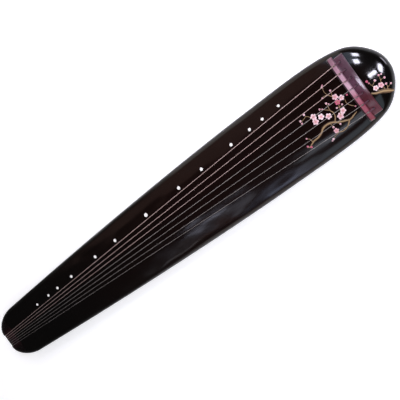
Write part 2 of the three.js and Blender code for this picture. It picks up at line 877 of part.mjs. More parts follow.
// A peg with its bore, and the cord wound in its neck
function peg(number) {
  const low = pegTop - pegLength;
  const neckTop = pegTop - pegHeadThick;
  const neckLow = neckTop - pegNeckLength;
  return turnedAt(pegX, stringAtBridge(number), [
    [pegBoreRadius, low],
    [pegFootRadius - pegChamfer, low],
    [pegFootRadius, low + pegChamfer],
    [pegRadius, neckLow],
    [pegNeckRadius, neckLow],
    [pegNeckRadius, neckTop],
    [pegRadius, neckTop],
    [pegRadius - half(pegChamfer), pegTop],
    [pegBoreRadius, pegTop],
    [pegBoreRadius, low],
  ], roundSteps);
}

function pegWrap(number) {
  const high = pegTop - pegHeadThick - gap;
  const low = pegTop - pegHeadThick - pegNeckLength + gap;
  const inner = pegNeckRadius + gap;
  const outer = inner + wrapThick;
  const middle = half(low + high);
  const groove = outer - half(tuftRadius);
  return turnedAt(pegX, stringAtBridge(number), [
    [inner, low],
    [groove, low],
    [outer, half(low + middle)],
    [groove, middle],
    [outer, half(middle + high)],
    [groove, high],
    [inner, high],
    [inner, low],
  ], roundSteps);
}

// The least gap between neighbouring turns of one winding, measured on its points
function leastTurnGap() {
  return Math.min(...stringNumbers.map((number) => {
    const points = winding(number);
    const turn = points.slice(roundSteps).map((point, step) => point.distanceTo(points[step]));
    return Math.min(...turn) - 2 * stringRadius(number);
  }));
}
console.log('least gap between turns', leastTurnGap().toFixed(2));

addMesh('top_board', topBoard(), lacquer);
addMesh('bottom_board', bottomBoard(), lacquer);
addMesh('bridge', bridge(), rosewood);
addMesh('head_plate', headPlate(), rosewood);
addMesh('nut', alongY(nutSection(), tailNotchWidth - 2 * gap), darkRosewood);
addMesh('lower_nut', alongY(lowerNutSection(), tailNotchWidth - 2 * gap), darkRosewood);
farAndNear.forEach(([name, side]) => {
  addMesh(`tail_cap_${name}`, tailCap(side), darkRosewood);
  addMesh(`peg_guard_${name}`, pegGuard(side), darkRosewood);
  addMesh(`foot_${name}`, foot(side), darkRosewood);
  addMesh(`foot_block_${name}`, footBlock(side), bareWood);
});
addMesh('front_post', frontPost(), bareWood);
addMesh('rear_post', rearPost(), bareWood);
soundHoles.forEach((hole) => addMesh(hole.name, soundHoleTrim(hole), darkRosewood));
markerShares.forEach((share, index) => {
  const disc = markerDisc(share, markerRadius(index), markerProud - markerThick, markerProud);
  addMesh(`marker_${index + 1}`, disc, pearl);
});
stringNumbers.forEach((number) => {
  addMesh(`string_${number + 1}`, string(number), stringFinish);
  addMesh(`tuft_${number + 1}`, tuft(number), silk);
  addMesh(`peg_${number + 1}`, peg(number), darkRosewood);
  addMesh(`peg_wrap_${number + 1}`, pegWrap(number), silk);
});

export default guqin;
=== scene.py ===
# Guqin: the seven-string zither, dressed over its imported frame.
# Metres. X points to the head, Y to the side with the pearl markers, Z up.
import math
import random

import bpy
from mathutils import Matrix, Quaternion, Vector


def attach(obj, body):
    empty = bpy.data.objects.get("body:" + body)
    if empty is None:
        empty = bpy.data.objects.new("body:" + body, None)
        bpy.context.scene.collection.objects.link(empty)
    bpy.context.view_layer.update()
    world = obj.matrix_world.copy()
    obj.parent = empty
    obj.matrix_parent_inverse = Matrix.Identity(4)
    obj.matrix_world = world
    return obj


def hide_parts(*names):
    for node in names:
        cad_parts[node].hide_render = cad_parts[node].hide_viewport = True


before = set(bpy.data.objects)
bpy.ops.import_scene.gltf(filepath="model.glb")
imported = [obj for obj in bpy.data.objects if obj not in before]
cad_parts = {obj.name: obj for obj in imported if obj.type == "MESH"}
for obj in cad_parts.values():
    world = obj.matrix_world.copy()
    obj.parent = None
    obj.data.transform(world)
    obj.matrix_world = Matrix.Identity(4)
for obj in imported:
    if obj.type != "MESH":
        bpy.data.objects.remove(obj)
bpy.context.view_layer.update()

scene = bpy.context.scene
scene.view_settings.view_transform = "Standard"
print("frame loaded,", len(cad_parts), "nodes")


# helpers
def hexLinear(code):
    parts = [int(code[i:i + 2], 16) / 255 for i in (1, 3, 5)]
    return tuple(c / 12.92 if c <= 0.04045 else ((c + 0.055) / 1.055) ** 2.4 for c in parts) + (1,)


def feed(node, inputs):
    # links sockets and sets plain values; a node stands for its first output
    for key, value in inputs.items():
        if isinstance(value, bpy.types.Node):
            value = value.outputs[0]
        if isinstance(value, bpy.types.NodeSocket):
            node.id_data.links.new(value, node.inputs[key])
        else:
            node.inputs[key].default_value = value
    return node


def addNode(tree, kind, inputs=None, **settings):
    node = tree.nodes.new(kind)
    for name, value in settings.items():
        setattr(node, name, value)
    return feed(node, inputs or {})


def follow(tree, known, steps):
    # a chain of sums, each (result, operation, terms); a result named ...Share is held between 0 and 1
    for result, operation, *terms in steps:
        inputs = {index: known.get(term, term) for index, term in enumerate(terms)}
        node = addNode(tree, "ShaderNodeMath", inputs, operation=operation)
        node.use_clamp = result.endswith("Share")
        known[result] = node.outputs[0]


def newPiece(name, points, faces=(), edges=()):
    mesh = bpy.data.meshes.new(name)
    mesh.from_pydata([tuple(point) for point in points], edges, faces)
    mesh.update()
    piece = bpy.data.objects.new(name, mesh)
    scene.collection.objects.link(piece)
    return piece


def ringPiece(name, rings, flipped=False, capped=True, closed=False):
    # rings of equally many points, joined one to the next; flipped when they run the other way round
    size, rows = len(rings[0]), len(rings)
    faces = [tuple(reversed(range(size))), tuple(range(size * (rows - 1), size * rows))] if capped else []
    for row in range(rows if closed else rows - 1):
        low, high = row * size, (row + 1) % rows * size
        faces += [(low + i, low + (i + 1) % size, high + (i + 1) % size, high + i) for i in range(size)]
    if flipped:
        faces = [(face[0], *face[:0:-1]) for face in faces]
    return newPiece(name, [point for ring in rings for point in ring], faces)


def mark(piece, label, values):
    # a number for each point, which shape trees and finishes read by its name
    piece.data.attributes.new(label, "FLOAT", "POINT").data.foreach_set("value", values)


def settle(piece):
    # keeps what the modifiers make as a plain mesh
    depsgraph = bpy.context.evaluated_depsgraph_get()
    evaluated = piece.evaluated_get(depsgraph)
    mesh = bpy.data.meshes.new_from_object(evaluated, preserve_all_data_layers=True, depsgraph=depsgraph)
    piece.modifiers.clear()
    piece.data = mesh
    return piece


def grow(piece, tree, sizes):
    # runs a shape tree on the piece with its named sizes
    modifier = piece.modifiers.new("shape", "NODES")
    modifier.node_group = tree
    for socket in tree.interface.items_tree:
        if socket.in_out == "INPUT" and socket.name in sizes:
            modifier[socket.identifier] = sizes[socket.name]
    return settle(piece)


def carve(piece, cutter, operation="DIFFERENCE"):
    modifier = piece.modifiers.new("carve", "BOOLEAN")
    modifier.operation = operation
    modifier.solver = "MANIFOLD"
    modifier.object = cutter
    return settle(piece)


def soften(piece, width, steps=3, angle=35):
    # rounds the edges that are sharper than the angle
    modifier = piece.modifiers.new("soften", "BEVEL")
    modifier.width = width
    modifier.segments = steps
    modifier.limit_method = "ANGLE"
    modifier.angle_limit = math.radians(angle)
    return settle(piece)


def shade(piece, angle=40):
    piece.data.polygons.foreach_set("use_smooth", [True] * len(piece.data.polygons))
    piece.data.set_sharp_from_angle(angle=math.radians(angle))
    return piece


def dress(piece, finish, nodes, body="root"):
    # the finish, the body that carries it and the nodes it stands for
    piece.data.materials.clear()
    piece.data.materials.append(finish)
    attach(piece, body)
    if nodes:
        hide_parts(*nodes)
    return piece


def newShapeTree(name, sizes):
    tree = bpy.data.node_groups.new(name, "GeometryNodeTree")
    tree.is_modifier = True
    tree.interface.new_socket("Geometry", in_out="INPUT", socket_type="NodeSocketGeometry")
    kinds = {int: "Int", float: "Float", bpy.types.Material: "Material"}
    for label, value in sizes.items():
        kind = "NodeSocket" + kinds.get(type(value), "Object")
        socket = tree.interface.new_socket(label, in_out="INPUT", socket_type=kind)
        if value is not None:
            socket.default_value = value
    tree.interface.new_socket("Geometry", in_out="OUTPUT", socket_type="NodeSocketGeometry")
    outputs = tree.nodes.new("NodeGroupInput").outputs
    return tree, outputs["Geometry"], {label: outputs[label] for label in sizes}


def endTree(tree, geometry, finish):
    # every shape tree ends in plain, smooth, painted geometry
    real = addNode(tree, "GeometryNodeRealizeInstances", {0: geometry})
    smooth = addNode(tree, "GeometryNodeSetShadeSmooth", {0: real})
    painted = addNode(tree, "GeometryNodeSetMaterial", {0: smooth, "Material": finish})
    addNode(tree, "NodeGroupOutput", {0: painted})
    return tree


camera = {
    "place": (0.6955, 0.0006, 1.5420),
    "view": (-0.37849, 0, -0.92557),  # straight ahead, on the middle plane of the body
    "roll": 36.32,                    # degrees, the body lies across the picture
    "lens": 61.28,
    "sensor": 36,
}
ahead = Vector(camera["view"]).normalized()
across = Vector((-ahead.z, 0, ahead.x))
roll = math.radians(camera["roll"])
right = across * math.cos(roll) - Vector((0, 1, 0)) * math.sin(roll)
up = across * math.sin(roll) + Vector((0, 1, 0)) * math.cos(roll)
cameraData = bpy.data.cameras.new("camera")
cameraData.lens = camera["lens"]
cameraData.sensor_width = camera["sensor"]
cameraObject = bpy.data.objects.new("camera", cameraData)
turned = Matrix((right, up, -ahead)).transposed().to_4x4()
cameraObject.matrix_world = Matrix.Translation(camera["place"]) @ turned
scene.collection.objects.link(cameraObject)
scene.camera = cameraObject
print("camera set")


# finishes
def findNode(tree, kind):
    return next(node for node in tree.nodes if node.type == kind)


def newFinish(name, **settings):
    finish = bpy.data.materials.new(name)
    finish.use_nodes = True
    shader = findNode(finish.node_tree, "BSDF_PRINCIPLED")
    feed(shader, {label.replace("_", " "): value for label, value in settings.items()})
    return finish, finish.node_tree, shader


def bodyPlace(tree, axis):
    # where a point lies along (0) or across (1) the body, in metres
    place = addNode(tree, "ShaderNodeTexCoord").outputs["Object"]
    return addNode(tree, "ShaderNodeSeparateXYZ", {0: place}).outputs[axis]


def clouds(tree, stretch, detail, **inputs):
    # noise whose patches have a real size along x, y and z, in metres
    place = addNode(tree, "ShaderNodeTexCoord").outputs["Object"]
    scale = tuple(1 / size for size in stretch)
    laid = addNode(tree, "ShaderNodeMapping", {"Vector": place, "Scale": scale})
    return addNode(tree, "ShaderNodeTexNoise", {"Vector": laid, "Detail": detail, **inputs})


def blend(tree, factor, low, high, start=0.0, end=1.0):
    # colours from low to high, given as hex
    ramp = addNode(tree, "ShaderNodeValToRGB", {0: factor})
    for index, (code, position) in enumerate(((low, start), (high, end))):
        ramp.color_ramp.elements[index].position = position
        ramp.color_ramp.elements[index].color = hexLinear(code)
    return ramp


lacquerLook = {
    "grows": {  # along the body: from where each of these starts to where it is full
        "toHead": (-0.42, 0.1), "fromEnd": (0.58, 0.52), "rim": (-0.5, 0.1), "flank": (0.45, 0.3),
    },
    "roughness": 0.07, "haze": 0.04, "flankRoughness": 0.09, "rimRoughness": (0.9, 0.42),  # at tail, at head
    "rubbed": (0.4, 0.9),  # from where to where between the top and the rim
    "waves": (0.3, 0.11, 0.11), "waveHeight": 0.0018, "waveStrength": 0.8,
    "hazePatch": (0.06, 0.03, 0.03), "mottle": (0.12, 0.03, 0.03),
    "brown": ("#0d0403", "#140806"), "black": ("#060505", "#0a0807"),
}


def makeLacquer():
    # black lacquer over wood, rubbed and polished: near-black with a deep gloss. Brown shows through it
    # towards the head, its reflections run in long soft waves, and the rim is rubbed duller
    look = lacquerLook
    finish, tree, shader = newFinish("polishedBlackLacquer", IOR=1.45)
    along = bodyPlace(tree, 0)
    known = {label: addNode(tree, "ShaderNodeMapRange", {0: along, 1: start, 2: end}).outputs[0]
             for label, (start, end) in look["grows"].items()}
    atTail, atHead = look["rimRoughness"]
    feed(known["rim"].node, {3: atTail, 4: atHead})
    rimShare = addNode(tree, "ShaderNodeAttribute", attribute_name="rimShare").outputs["Fac"]
    start, full = look["rubbed"]
    rubbed = {0: rimShare, 1: start, 2: full, 3: look["roughness"], 4: known["rim"]}
    known["rubbed"] = addNode(tree, "ShaderNodeMapRange", rubbed).outputs[0]
    known["haze"] = clouds(tree, look["hazePatch"], 1.0).outputs[0]
    known["wave"] = clouds(tree, look["waves"], 0.0).outputs[0]
    # the head is planed true and polished brightest, the long flanks less so
    follow(tree, known, [
        ("brown", "MULTIPLY", "toHead", "fromEnd"),
        ("hazy", "MULTIPLY_ADD", "haze", look["haze"], "rubbed"),
        ("gloss", "MULTIPLY_ADD", "flank", look["flankRoughness"], "hazy"),
        ("height", "MULTIPLY", "wave", "flank"),
    ])
    mottle = clouds(tree, look["mottle"], 3.0)
    brown, black = (blend(tree, mottle, *look[tone]) for tone in ("brown", "black"))
    tone = addNode(tree, "ShaderNodeMix", {0: known["brown"], 6: black, 7: brown}, data_type="RGBA")
    bump = {"Height": known["height"], "Distance": look["waveHeight"], "Strength": look["waveStrength"]}
    feed(shader, {"Base Color": tone.outputs[2], "Roughness": known["gloss"],
                  "Normal": addNode(tree, "ShaderNodeBump", bump)})
    return finish


woodLook = {
    "poreDepth": 0.0001, "poreShare": 0.4, "poreEdges": (0.36, 0.46), "poreStrength": 0.6,
    "coatRoughness": 0.15, "specular": 0.3,
    "tones": (0.3, 0.72),  # how much noise gives the dark and the pale colour
    "dullTone": 0.3, "dull": 0.07, "shinyTone": 0.7, "shiny": -0.05,  # added to the roughness there
    "crossGrain": (0.0016, 0.05, 0.0016), "longGrain": (0.03, 0.0016, 0.0016),
}


def makeWood(name, low, high, grain, roughness, polish=0.0):
    # streaks of grain with open pores; grain gives the size of one streak along x, y and z in metres,
    # and polish lays a clear coat over it
    look = woodLook
    finish, tree, shader = newFinish(name, IOR=1.5, Specular_IOR_Level=look["specular"],
                                     Coat_Weight=polish, Coat_Roughness=look["coatRoughness"])
    streak = clouds(tree, grain, 6.0, Roughness=0.6, Distortion=0.4)
    pore = clouds(tree, tuple(size * look["poreShare"] for size in grain), 2.0)
    openAt, shutAt = look["poreEdges"]
    openPore = addNode(tree, "ShaderNodeMapRange", {0: pore, 1: openAt, 2: shutAt})
    bump = {"Height": openPore, "Distance": look["poreDepth"], "Strength": look["poreStrength"]}
    sheen = {0: streak, 1: look["dullTone"], 2: look["shinyTone"], 3: roughness + look["dull"],
             4: roughness + look["shiny"]}
    feed(shader, {
        "Base Color": blend(tree, streak, low, high, *look["tones"]),
        "Roughness": addNode(tree, "ShaderNodeMapRange", sheen),
        "Normal": addNode(tree, "ShaderNodeBump", bump),
    })
    return finish


def fadeAcross(finish, stops):
    # shifts the wood's colour across the body: stops are (metres towards the markers, hex at full strength)
    tree = finish.node_tree
    shader = findNode(tree, "BSDF_PRINCIPLED")
    low, high = stops[0][0], stops[-1][0]
    share = addNode(tree, "ShaderNodeMapRange", {0: bodyPlace(tree, 1), 1: low, 2: high})
    ramp = blend(tree, share, stops[0][1], stops[-1][1])
    for spot, code in stops[1:-1]:
        ramp.color_ramp.elements.new((spot - low) / (high - low)).color = hexLinear(code)
    layers = {0: 1.0, 6: shader.inputs["Base Color"].links[0].from_socket, 7: ramp}
    tinted = addNode(tree, "ShaderNodeMix", layers, data_type="RGBA", blend_type="MULTIPLY")
    feed(shader, {"Base Color": tinted.outputs[2]})


def dimmed(tree, tone, start, end, least):
    # the colour grows from a share of itself to all of it, between two places along the body
    share = addNode(tree, "ShaderNodeMapRange", {0: bodyPlace(tree, 0), 1: start, 2: end, 3: least, 4: 1.0})
    return addNode(tree, "ShaderNodeVectorMath", {0: tone, "Scale": share}, operation="SCALE")


def shadeBridgeStringSide(finish, start, end, least):
    # painted shade: the string side of the bridge is darkened along its edge
    shader = findNode(finish.node_tree, "BSDF_PRINCIPLED")
    tone = shader.inputs["Base Color"].links[0].from_socket
    feed(shader, {"Base Color": dimmed(finish.node_tree, tone, start, end, least)})


pearlLook = {"patch": (0.004, 0.002, 0.002), "green": "#e4f1ec", "white": "#fdfcf6", "pink": "#fbe9ec"}


def makePearl():
    # polished shell: white with faint green and pink clouds and a soft gloss
    finish, tree, shader = newFinish("motherOfPearl", Roughness=0.18, IOR=1.55)
    tone = blend(tree, clouds(tree, pearlLook["patch"], 3.0), pearlLook["green"], pearlLook["pink"])
    tone.color_ramp.elements.new(0.5).color = hexLinear(pearlLook["white"])
    feed(shader, {"Base Color": tone})
    return finish


stringLook = {
    "turnLength": 0.0006,  # the real turns are 0.25 mm apart, and these are drawn wider so that they show
    "turnDepth": 0.00003,
    "tailShade": (-0.5, -0.1, 0.42),  # painted shade towards the tail: darkest here, full colour there, and how dark
}


def makeString(name, low, high, metallic):
    # steel core wound with nylon: satin, with the turns of its winding and painted shade in their grooves,
    # and painted shade that darkens it towards the tail
    finish, tree, shader = newFinish(name, Roughness=0.36, Metallic=metallic)
    known = {"along": addNode(tree, "ShaderNodeAttribute", attribute_name="along").outputs["Fac"]}
    follow(tree, known, [
        ("turn", "MULTIPLY", "along", 2 * math.pi / stringLook["turnLength"]),
        ("ridge", "SINE", "turn"),
    ])
    # painted shade: the colour is darker in the grooves between the turns and paler on their crowns
    tone = blend(tree, known["ridge"], low, high)
    bump = {"Height": known["ridge"], "Distance": stringLook["turnDepth"]}
    feed(shader, {"Base Color": dimmed(tree, tone, *stringLook["tailShade"]),
                  "Normal": addNode(tree, "ShaderNodeBump", bump)})
    return finish


silkLook = {"deep": "#3e1626", "pale": "#6b3a4e", "fibreLength": 0.004, "fibresAround": 14.0,
            "fibreDepth": 0.0002}


def makeSilk():
    # dyed silk cord: deep rose, soft sheen, fine fibres along the plies
    look = silkLook
    finish, tree, shader = newFinish("dyedSilkCord", Roughness=0.6, Sheen_Weight=0.2, Sheen_Roughness=0.4)
    along, around = (addNode(tree, "ShaderNodeAttribute", attribute_name=label).outputs["Fac"]
                     for label in ("along", "around"))
    place = addNode(tree, "ShaderNodeCombineXYZ", {0: along, 1: around})
    scale = (1 / look["fibreLength"], look["fibresAround"], 1.0)
    fibre = addNode(tree, "ShaderNodeMapping", {"Vector": place, "Scale": scale})
    noise = addNode(tree, "ShaderNodeTexNoise", {"Vector": fibre, "Detail": 3.0})
    bump = addNode(tree, "ShaderNodeBump", {"Height": noise, "Distance": look["fibreDepth"]})
    feed(shader, {"Base Color": blend(tree, noise, look["deep"], look["pale"]), "Normal": bump})
    return finish


lacquer = makeLacquer()
# painted highlight: the bridge's rosewood is paled across its middle, with the wood's deep red towards both
# ends
bridgeWood = makeWood("polishedRosewood", "#c98f9c", "#ffe6ee", woodLook["crossGrain"], 0.38, 0.3)
fadeAcross(bridgeWood, [(-0.08, "#8a464f"), (-0.045, "#ab6474"), (-0.022, "#b8808f"), (0.005, "#dcd4dd"),
                        (0.03, "#c9b9c5"), (0.055, "#b29aa6"), (0.08, "#866c77")])
plateWood = makeWood("mauveRosewood", "#a77c93", "#f6d5e4", woodLook["crossGrain"], 0.34, 0.8)
fadeAcross(plateWood, [(-0.075, "#72303b"), (-0.03, "#5a1727"), (0.0, "#663a54"), (0.03, "#552b40"),
                       (0.075, "#5c3348")])
darkRosewood, capWood = (makeWood(name, "#12070a", "#280f14", woodLook["longGrain"], 0.26)
                         for name in ("darkRosewood", "lacqueredRosewood"))
fadeAcross(capWood, [(-0.06, "#483c3c"), (-0.03, "#7c7070"), (-0.018, "#ffffff"), (0.018, "#ffffff"),
                     (0.03, "#7c7070"), (0.06, "#483c3c")])
bareWood = makeWood("planedFir", "#a87f4e", "#d8b98a", (0.06, 0.002, 0.002), 0.6)
pearl = makePearl()
rosyString = makeString("rosyNylonWoundSteel", "#b79790", "#dcc6c0", 0.2)
greyString = makeString("silverNylonWoundSteel", "#8c8581", "#bdb4af", 0.35)
rosyStrings = 3  # counted from the marker side
silk = makeSilk()
print("finishes made")


# the shape of the body, as the frame has it
bodyShape = {
    "Length": 1.22,
    "Half Width": 0.0984,
    "Widest From Head": 0.366,
    "Head Round": 0.0706,
    "Head Narrowing": 0.0462,
    "Tail Narrowing": 0.033,
    "Head Power": 5.8,
    "Tail Power": 1.6,
    "Round Power": 2.455,
    "Rest Height": 0.029,
    "Seam Height": 0.040,
    "End Thickness": 0.042,
    "Middle Rise": 0.0055,
    "Thickest From Head": 0.390,
    "Head Arch": 0.013,
    "Middle Arch": 0.016,
    "Tail Arch": 0.006,
    "Edge Width": 0.011,
    "Edge Depth": 0.008,
    "Edge Fade": 0.6,
    "Fade Start": 0.6,
}
tailCorner = {"length": 0.0654, "end": 0.0192}


def sideHalfWidth(u):
    shape = bodyShape
    tail = max(0, (u - shape["Widest From Head"]) / (shape["Length"] - shape["Widest From Head"]))
    head = max(0, 1 - u / shape["Widest From Head"])
    narrowing = shape["Tail Narrowing"] * tail ** shape["Tail Power"]
    return shape["Half Width"] - narrowing - shape["Head Narrowing"] * head ** shape["Head Power"]


def outlineHalfWidth(u):
    shape = bodyShape
    power = shape["Round Power"]
    width = sideHalfWidth(u) * (1 - max(0, 1 - u / shape["Head Round"]) ** power) ** (1 / power)
    corner = min(1, max(0, (u - shape["Length"] + tailCorner["length"]) / tailCorner["length"]))
    return tailCorner["end"] + (width - tailCorner["end"]) * math.sqrt(1 - corner ** 2) if corner else width


def surfaceHeight(x, y):
    shape = bodyShape
    u = shape["Length"] / 2 - x
    toHead = (u - shape["Head Round"]) / (shape["Thickest From Head"] - shape["Head Round"])
    toTail = (shape["Length"] - u) / (shape["Length"] - shape["Thickest From Head"])
    middle = (1 - math.cos(math.pi * min(1, max(0, min(toHead, toTail))))) / 2
    endArch = shape["Head Arch"] if u < shape["Thickest From Head"] else shape["Tail Arch"]
    arch = endArch + (shape["Middle Arch"] - endArch) * middle
    arch *= (abs(y) / sideHalfWidth(u)) ** shape["Round Power"]
    roll = shape["Head Arch"] * max(0, 1 - u / shape["Head Round"]) ** shape["Round Power"]
    return shape["Rest Height"] + shape["End Thickness"] + shape["Middle Rise"] * middle - arch - roll


def outlineLoop(headSteps=44, sideSteps=120, tailSteps=26, endSteps=6):
    # seen from above, from the middle of the head round by the marker side
    shape, half = bodyShape, []
    headRound, power = shape["Head Round"], shape["Round Power"]
    for step in range(headSteps):
        turn = math.pi / 2 * step / headSteps
        u = headRound * (1 - math.cos(turn) ** (2 / power))
        half.append((u, sideHalfWidth(u) * math.sin(turn) ** (2 / power)))
    cornerStart = shape["Length"] - tailCorner["length"]
    for step in range(sideSteps):
        u = headRound + (cornerStart - headRound) * step / sideSteps
        half.append((u, sideHalfWidth(u)))
    for step in range(tailSteps + 1):
        turn = math.pi / 2 * step / tailSteps
        u = cornerStart + tailCorner["length"] * math.sin(turn)
        half.append((u, tailCorner["end"] + (sideHalfWidth(u) - tailCorner["end"]) * math.cos(turn)))
    near = [(u, -y) for u, y in reversed(half[1:])]
    end = [(shape["Length"], tailCorner["end"] * (1 - 2 * step / endSteps)) for step in range(1, endSteps)]
    return [(shape["Length"] / 2 - u, y) for u, y in half + end + near]


# the top board grows by rule from its outline
def archedBoardTree():
    tree, outline, known = newShapeTree("archedBoard", dict(bodyShape, **{
        "Roof Drop": 0.0, "Spine Head": 0.54, "Spine Tail": -0.58, "Edge Rings": 10, "Top Rings": 24,
        "Finish": lacquer,
    }))
    known["row"] = addNode(tree, "GeometryNodeInputIndex").outputs[0]
    # one row of points to start, one for the seam, the rings of the rounded edge and those of the top
    ringSteps = [
        ("rings", "ADD", "Edge Rings", "Top Rings"),
        ("rows", "ADD", "rings", 3.0),
        ("startShare", "MINIMUM", "row", 1.0),
        ("levelShare", "SUBTRACT", "row", 1.0),
        ("roundRow", "SUBTRACT", "row", 2.0),
        ("roundShare", "DIVIDE", "roundRow", "Edge Rings"),
        ("topRow", "SUBTRACT", "roundRow", "Edge Rings"),
        ("topShare", "DIVIDE", "topRow", "Top Rings"),
        ("ringShare", "SUBTRACT", "startShare", "topShare"),
        ("turn", "MULTIPLY", "roundShare", math.pi / 2),
        ("cosTurn", "COSINE", "turn"),
        ("insetShare", "SUBTRACT", 1.0, "cosTurn"),
        ("inset", "MULTIPLY", "insetShare", "Edge Width"),
        ("inward", "MULTIPLY", "inset", -1.0),
        ("sinTurn", "SINE", "turn"),
        ("dipShare", "SUBTRACT", 1.0, "sinTurn"),
        ("dip", "MULTIPLY", "dipShare", "Edge Depth"),
    ]
    surfaceSteps = [
        ("spineLow", "MAXIMUM", "x", "Spine Tail"),
        ("spine", "MINIMUM", "spineLow", "Spine Head"),
        ("fromSpine", "SUBTRACT", "x", "spine"),
        ("placeX", "MULTIPLY_ADD", "fromSpine", "ring", "spine"),
        ("placeY", "MULTIPLY", "y", "ring"),
        ("headX", "MULTIPLY", "Length", 0.5),
        ("u", "SUBTRACT", "headX", "placeX"),
        ("pastWidest", "SUBTRACT", "u", "Widest From Head"),
        ("tailSpan", "SUBTRACT", "Length", "Widest From Head"),
        ("tailShare", "DIVIDE", "pastWidest", "tailSpan"),
        ("tailPower", "POWER", "tailShare", "Tail Power"),
        ("tailIn", "MULTIPLY", "tailPower", "Tail Narrowing"),
        ("headWay", "DIVIDE", "u", "Widest From Head"),
        ("headShare", "SUBTRACT", 1.0, "headWay"),
        ("headPower", "POWER", "headShare", "Head Power"),
        ("headIn", "MULTIPLY", "headPower", "Head Narrowing"),
        ("widthLeft", "SUBTRACT", "Half Width", "tailIn"),
        ("side", "SUBTRACT", "widthLeft", "headIn"),
        ("pastRound", "SUBTRACT", "u", "Head Round"),
        ("headRun", "SUBTRACT", "Thickest From Head", "Head Round"),
        ("riseHead", "DIVIDE", "pastRound", "headRun"),
        ("toTail", "SUBTRACT", "Length", "u"),
        ("tailRun", "SUBTRACT", "Length", "Thickest From Head"),
        ("riseTail", "DIVIDE", "toTail", "tailRun"),
        ("riseShare", "MINIMUM", "riseHead", "riseTail"),
        ("riseTurn", "MULTIPLY", "riseShare", math.pi),
        ("riseCos", "COSINE", "riseTurn"),
        ("middle", "MULTIPLY_ADD", "riseCos", -0.5, 0.5),
        ("thick", "MULTIPLY_ADD", "middle", "Middle Rise", "End Thickness"),
        ("isTail", "GREATER_THAN", "u", "Thickest From Head"),
        ("archStep", "SUBTRACT", "Tail Arch", "Head Arch"),
        ("endArch", "MULTIPLY_ADD", "isTail", "archStep", "Head Arch"),
        ("archGain", "SUBTRACT", "Middle Arch", "endArch"),
        ("arch", "MULTIPLY_ADD", "middle", "archGain", "endArch"),
        ("acrossWay", "DIVIDE", "placeY", "side"),
        ("acrossPart", "ABSOLUTE", "acrossWay"),
        ("acrossPower", "POWER", "acrossPart", "Round Power"),
        ("archDrop", "MULTIPLY", "acrossPower", "arch"),
        ("roundWay", "DIVIDE", "u", "Head Round"),
        ("rollShare", "SUBTRACT", 1.0, "roundWay"),
        ("rollPower", "POWER", "rollShare", "Round Power"),
        ("rollDrop", "MULTIPLY", "rollPower", "Head Arch"),
        ("pastFade", "SUBTRACT", "u", "Fade Start"),
        ("fadeRun", "SUBTRACT", "Length", "Fade Start"),
        ("tailwardShare", "DIVIDE", "pastFade", "fadeRun"),
        ("edgeLost", "MULTIPLY", "tailwardShare", "Edge Fade"),
        ("edgeLeft", "SUBTRACT", 1.0, "edgeLost"),
        ("dipThere", "MULTIPLY", "dipHere", "edgeLeft"),
        ("crown", "ADD", "Rest Height", "thick"),
        ("overArch", "SUBTRACT", "crown", "archDrop"),
        ("overRoll", "SUBTRACT", "overArch", "rollDrop"),
        ("overDip", "SUBTRACT", "overRoll", "dipThere"),
        ("roof", "SUBTRACT", "overDip", "Roof Drop"),
        ("lift", "SUBTRACT", "roof", "Seam Height"),
        ("placeZ", "MULTIPLY_ADD", "lift", "level", "Seam Height"),
    ]
    follow(tree, known, ringSteps)
    line = addNode(tree, "GeometryNodeMeshLine", {"Count": known["rows"]})
    drawnIn = addNode(tree, "ShaderNodeCombineXYZ", {0: known["inward"]})
    profile = addNode(tree, "GeometryNodeSetPosition", {0: line, "Position": drawnIn})
    for name, value in (("ring", "ringShare"), ("level", "levelShare"), ("dipHere", "dip")):
        named = {0: profile, "Name": name, "Value": known[value]}
        profile = addNode(tree, "GeometryNodeStoreNamedAttribute", named)
    profileCurve = addNode(tree, "GeometryNodeMeshToCurve", {0: profile})
    path = addNode(tree, "GeometryNodeMeshToCurve", {0: outline})
    level = addNode(tree, "GeometryNodeSetCurveNormal", {0: path}, mode="Z_UP")
    swept = addNode(tree, "GeometryNodeCurveToMesh", {0: level, 1: profileCurve})
    parts = addNode(tree, "ShaderNodeSeparateXYZ", {0: addNode(tree, "GeometryNodeInputPosition")})
    known["x"], known["y"] = parts.outputs[0], parts.outputs[1]
    for name in ("ring", "level", "dipHere"):
        known[name] = addNode(tree, "GeometryNodeInputNamedAttribute", {"Name": name}).outputs[0]
    follow(tree, known, surfaceSteps)
    target = addNode(tree, "ShaderNodeCombineXYZ", {i: known["place" + axis] for i, axis in enumerate("XYZ")})
    lifted = addNode(tree, "GeometryNodeSetPosition", {0: swept, "Position": target})
    welded = addNode(tree, "GeometryNodeMergeByDistance", {0: lifted, "Distance": 0.00001})
    outward = addNode(tree, "GeometryNodeFlipFaces", {0: welded})
    return endTree(tree, outward, known["Finish"])


def loopPiece(name, loop, height=0):
    count = len(loop)
    edges = [(index, (index + 1) % count) for index in range(count)]
    return newPiece(name, [(x, y, height) for x, y in loop], edges=edges)


def slab(name, loop, low, high):
    # a flat loop of (x, y) points between two heights
    return ringPiece(name, [[(x, y, z) for x, y in loop] for z in (low, high)])


def remove(*pieces):
    for piece in pieces:
        bpy.data.objects.remove(piece)


def carveLoop(piece, loop, low, high, operation="DIFFERENCE"):
    # cuts an upright prism out of the piece, or joins it to the piece
    prism = slab("prism", loop, low, high)
    carve(piece, prism, operation)
    remove(prism)
    return piece


def boxLoop(x, y, halfLength, halfWidth):
    return [(x + a * halfLength, y + b * halfWidth) for a, b in ((-1, -1), (1, -1), (1, 1), (-1, 1))]


def slotLoop(middle, length, width, steps=20, turned=False):
    # a round-ended slot seen from above, along X, or along Y when turned
    radius, loop = width / 2, []
    for side in (1, -1):
        for step in range(steps + 1):
            turn = math.pi * (step / steps - 0.5)
            x = side * (length / 2 - radius + radius * math.cos(turn))
            loop.append((x, side * radius * math.sin(turn)))
    if turned:
        loop = [(-y, x) for x, y in loop]
    return [(middle + x, y) for x, y in loop]


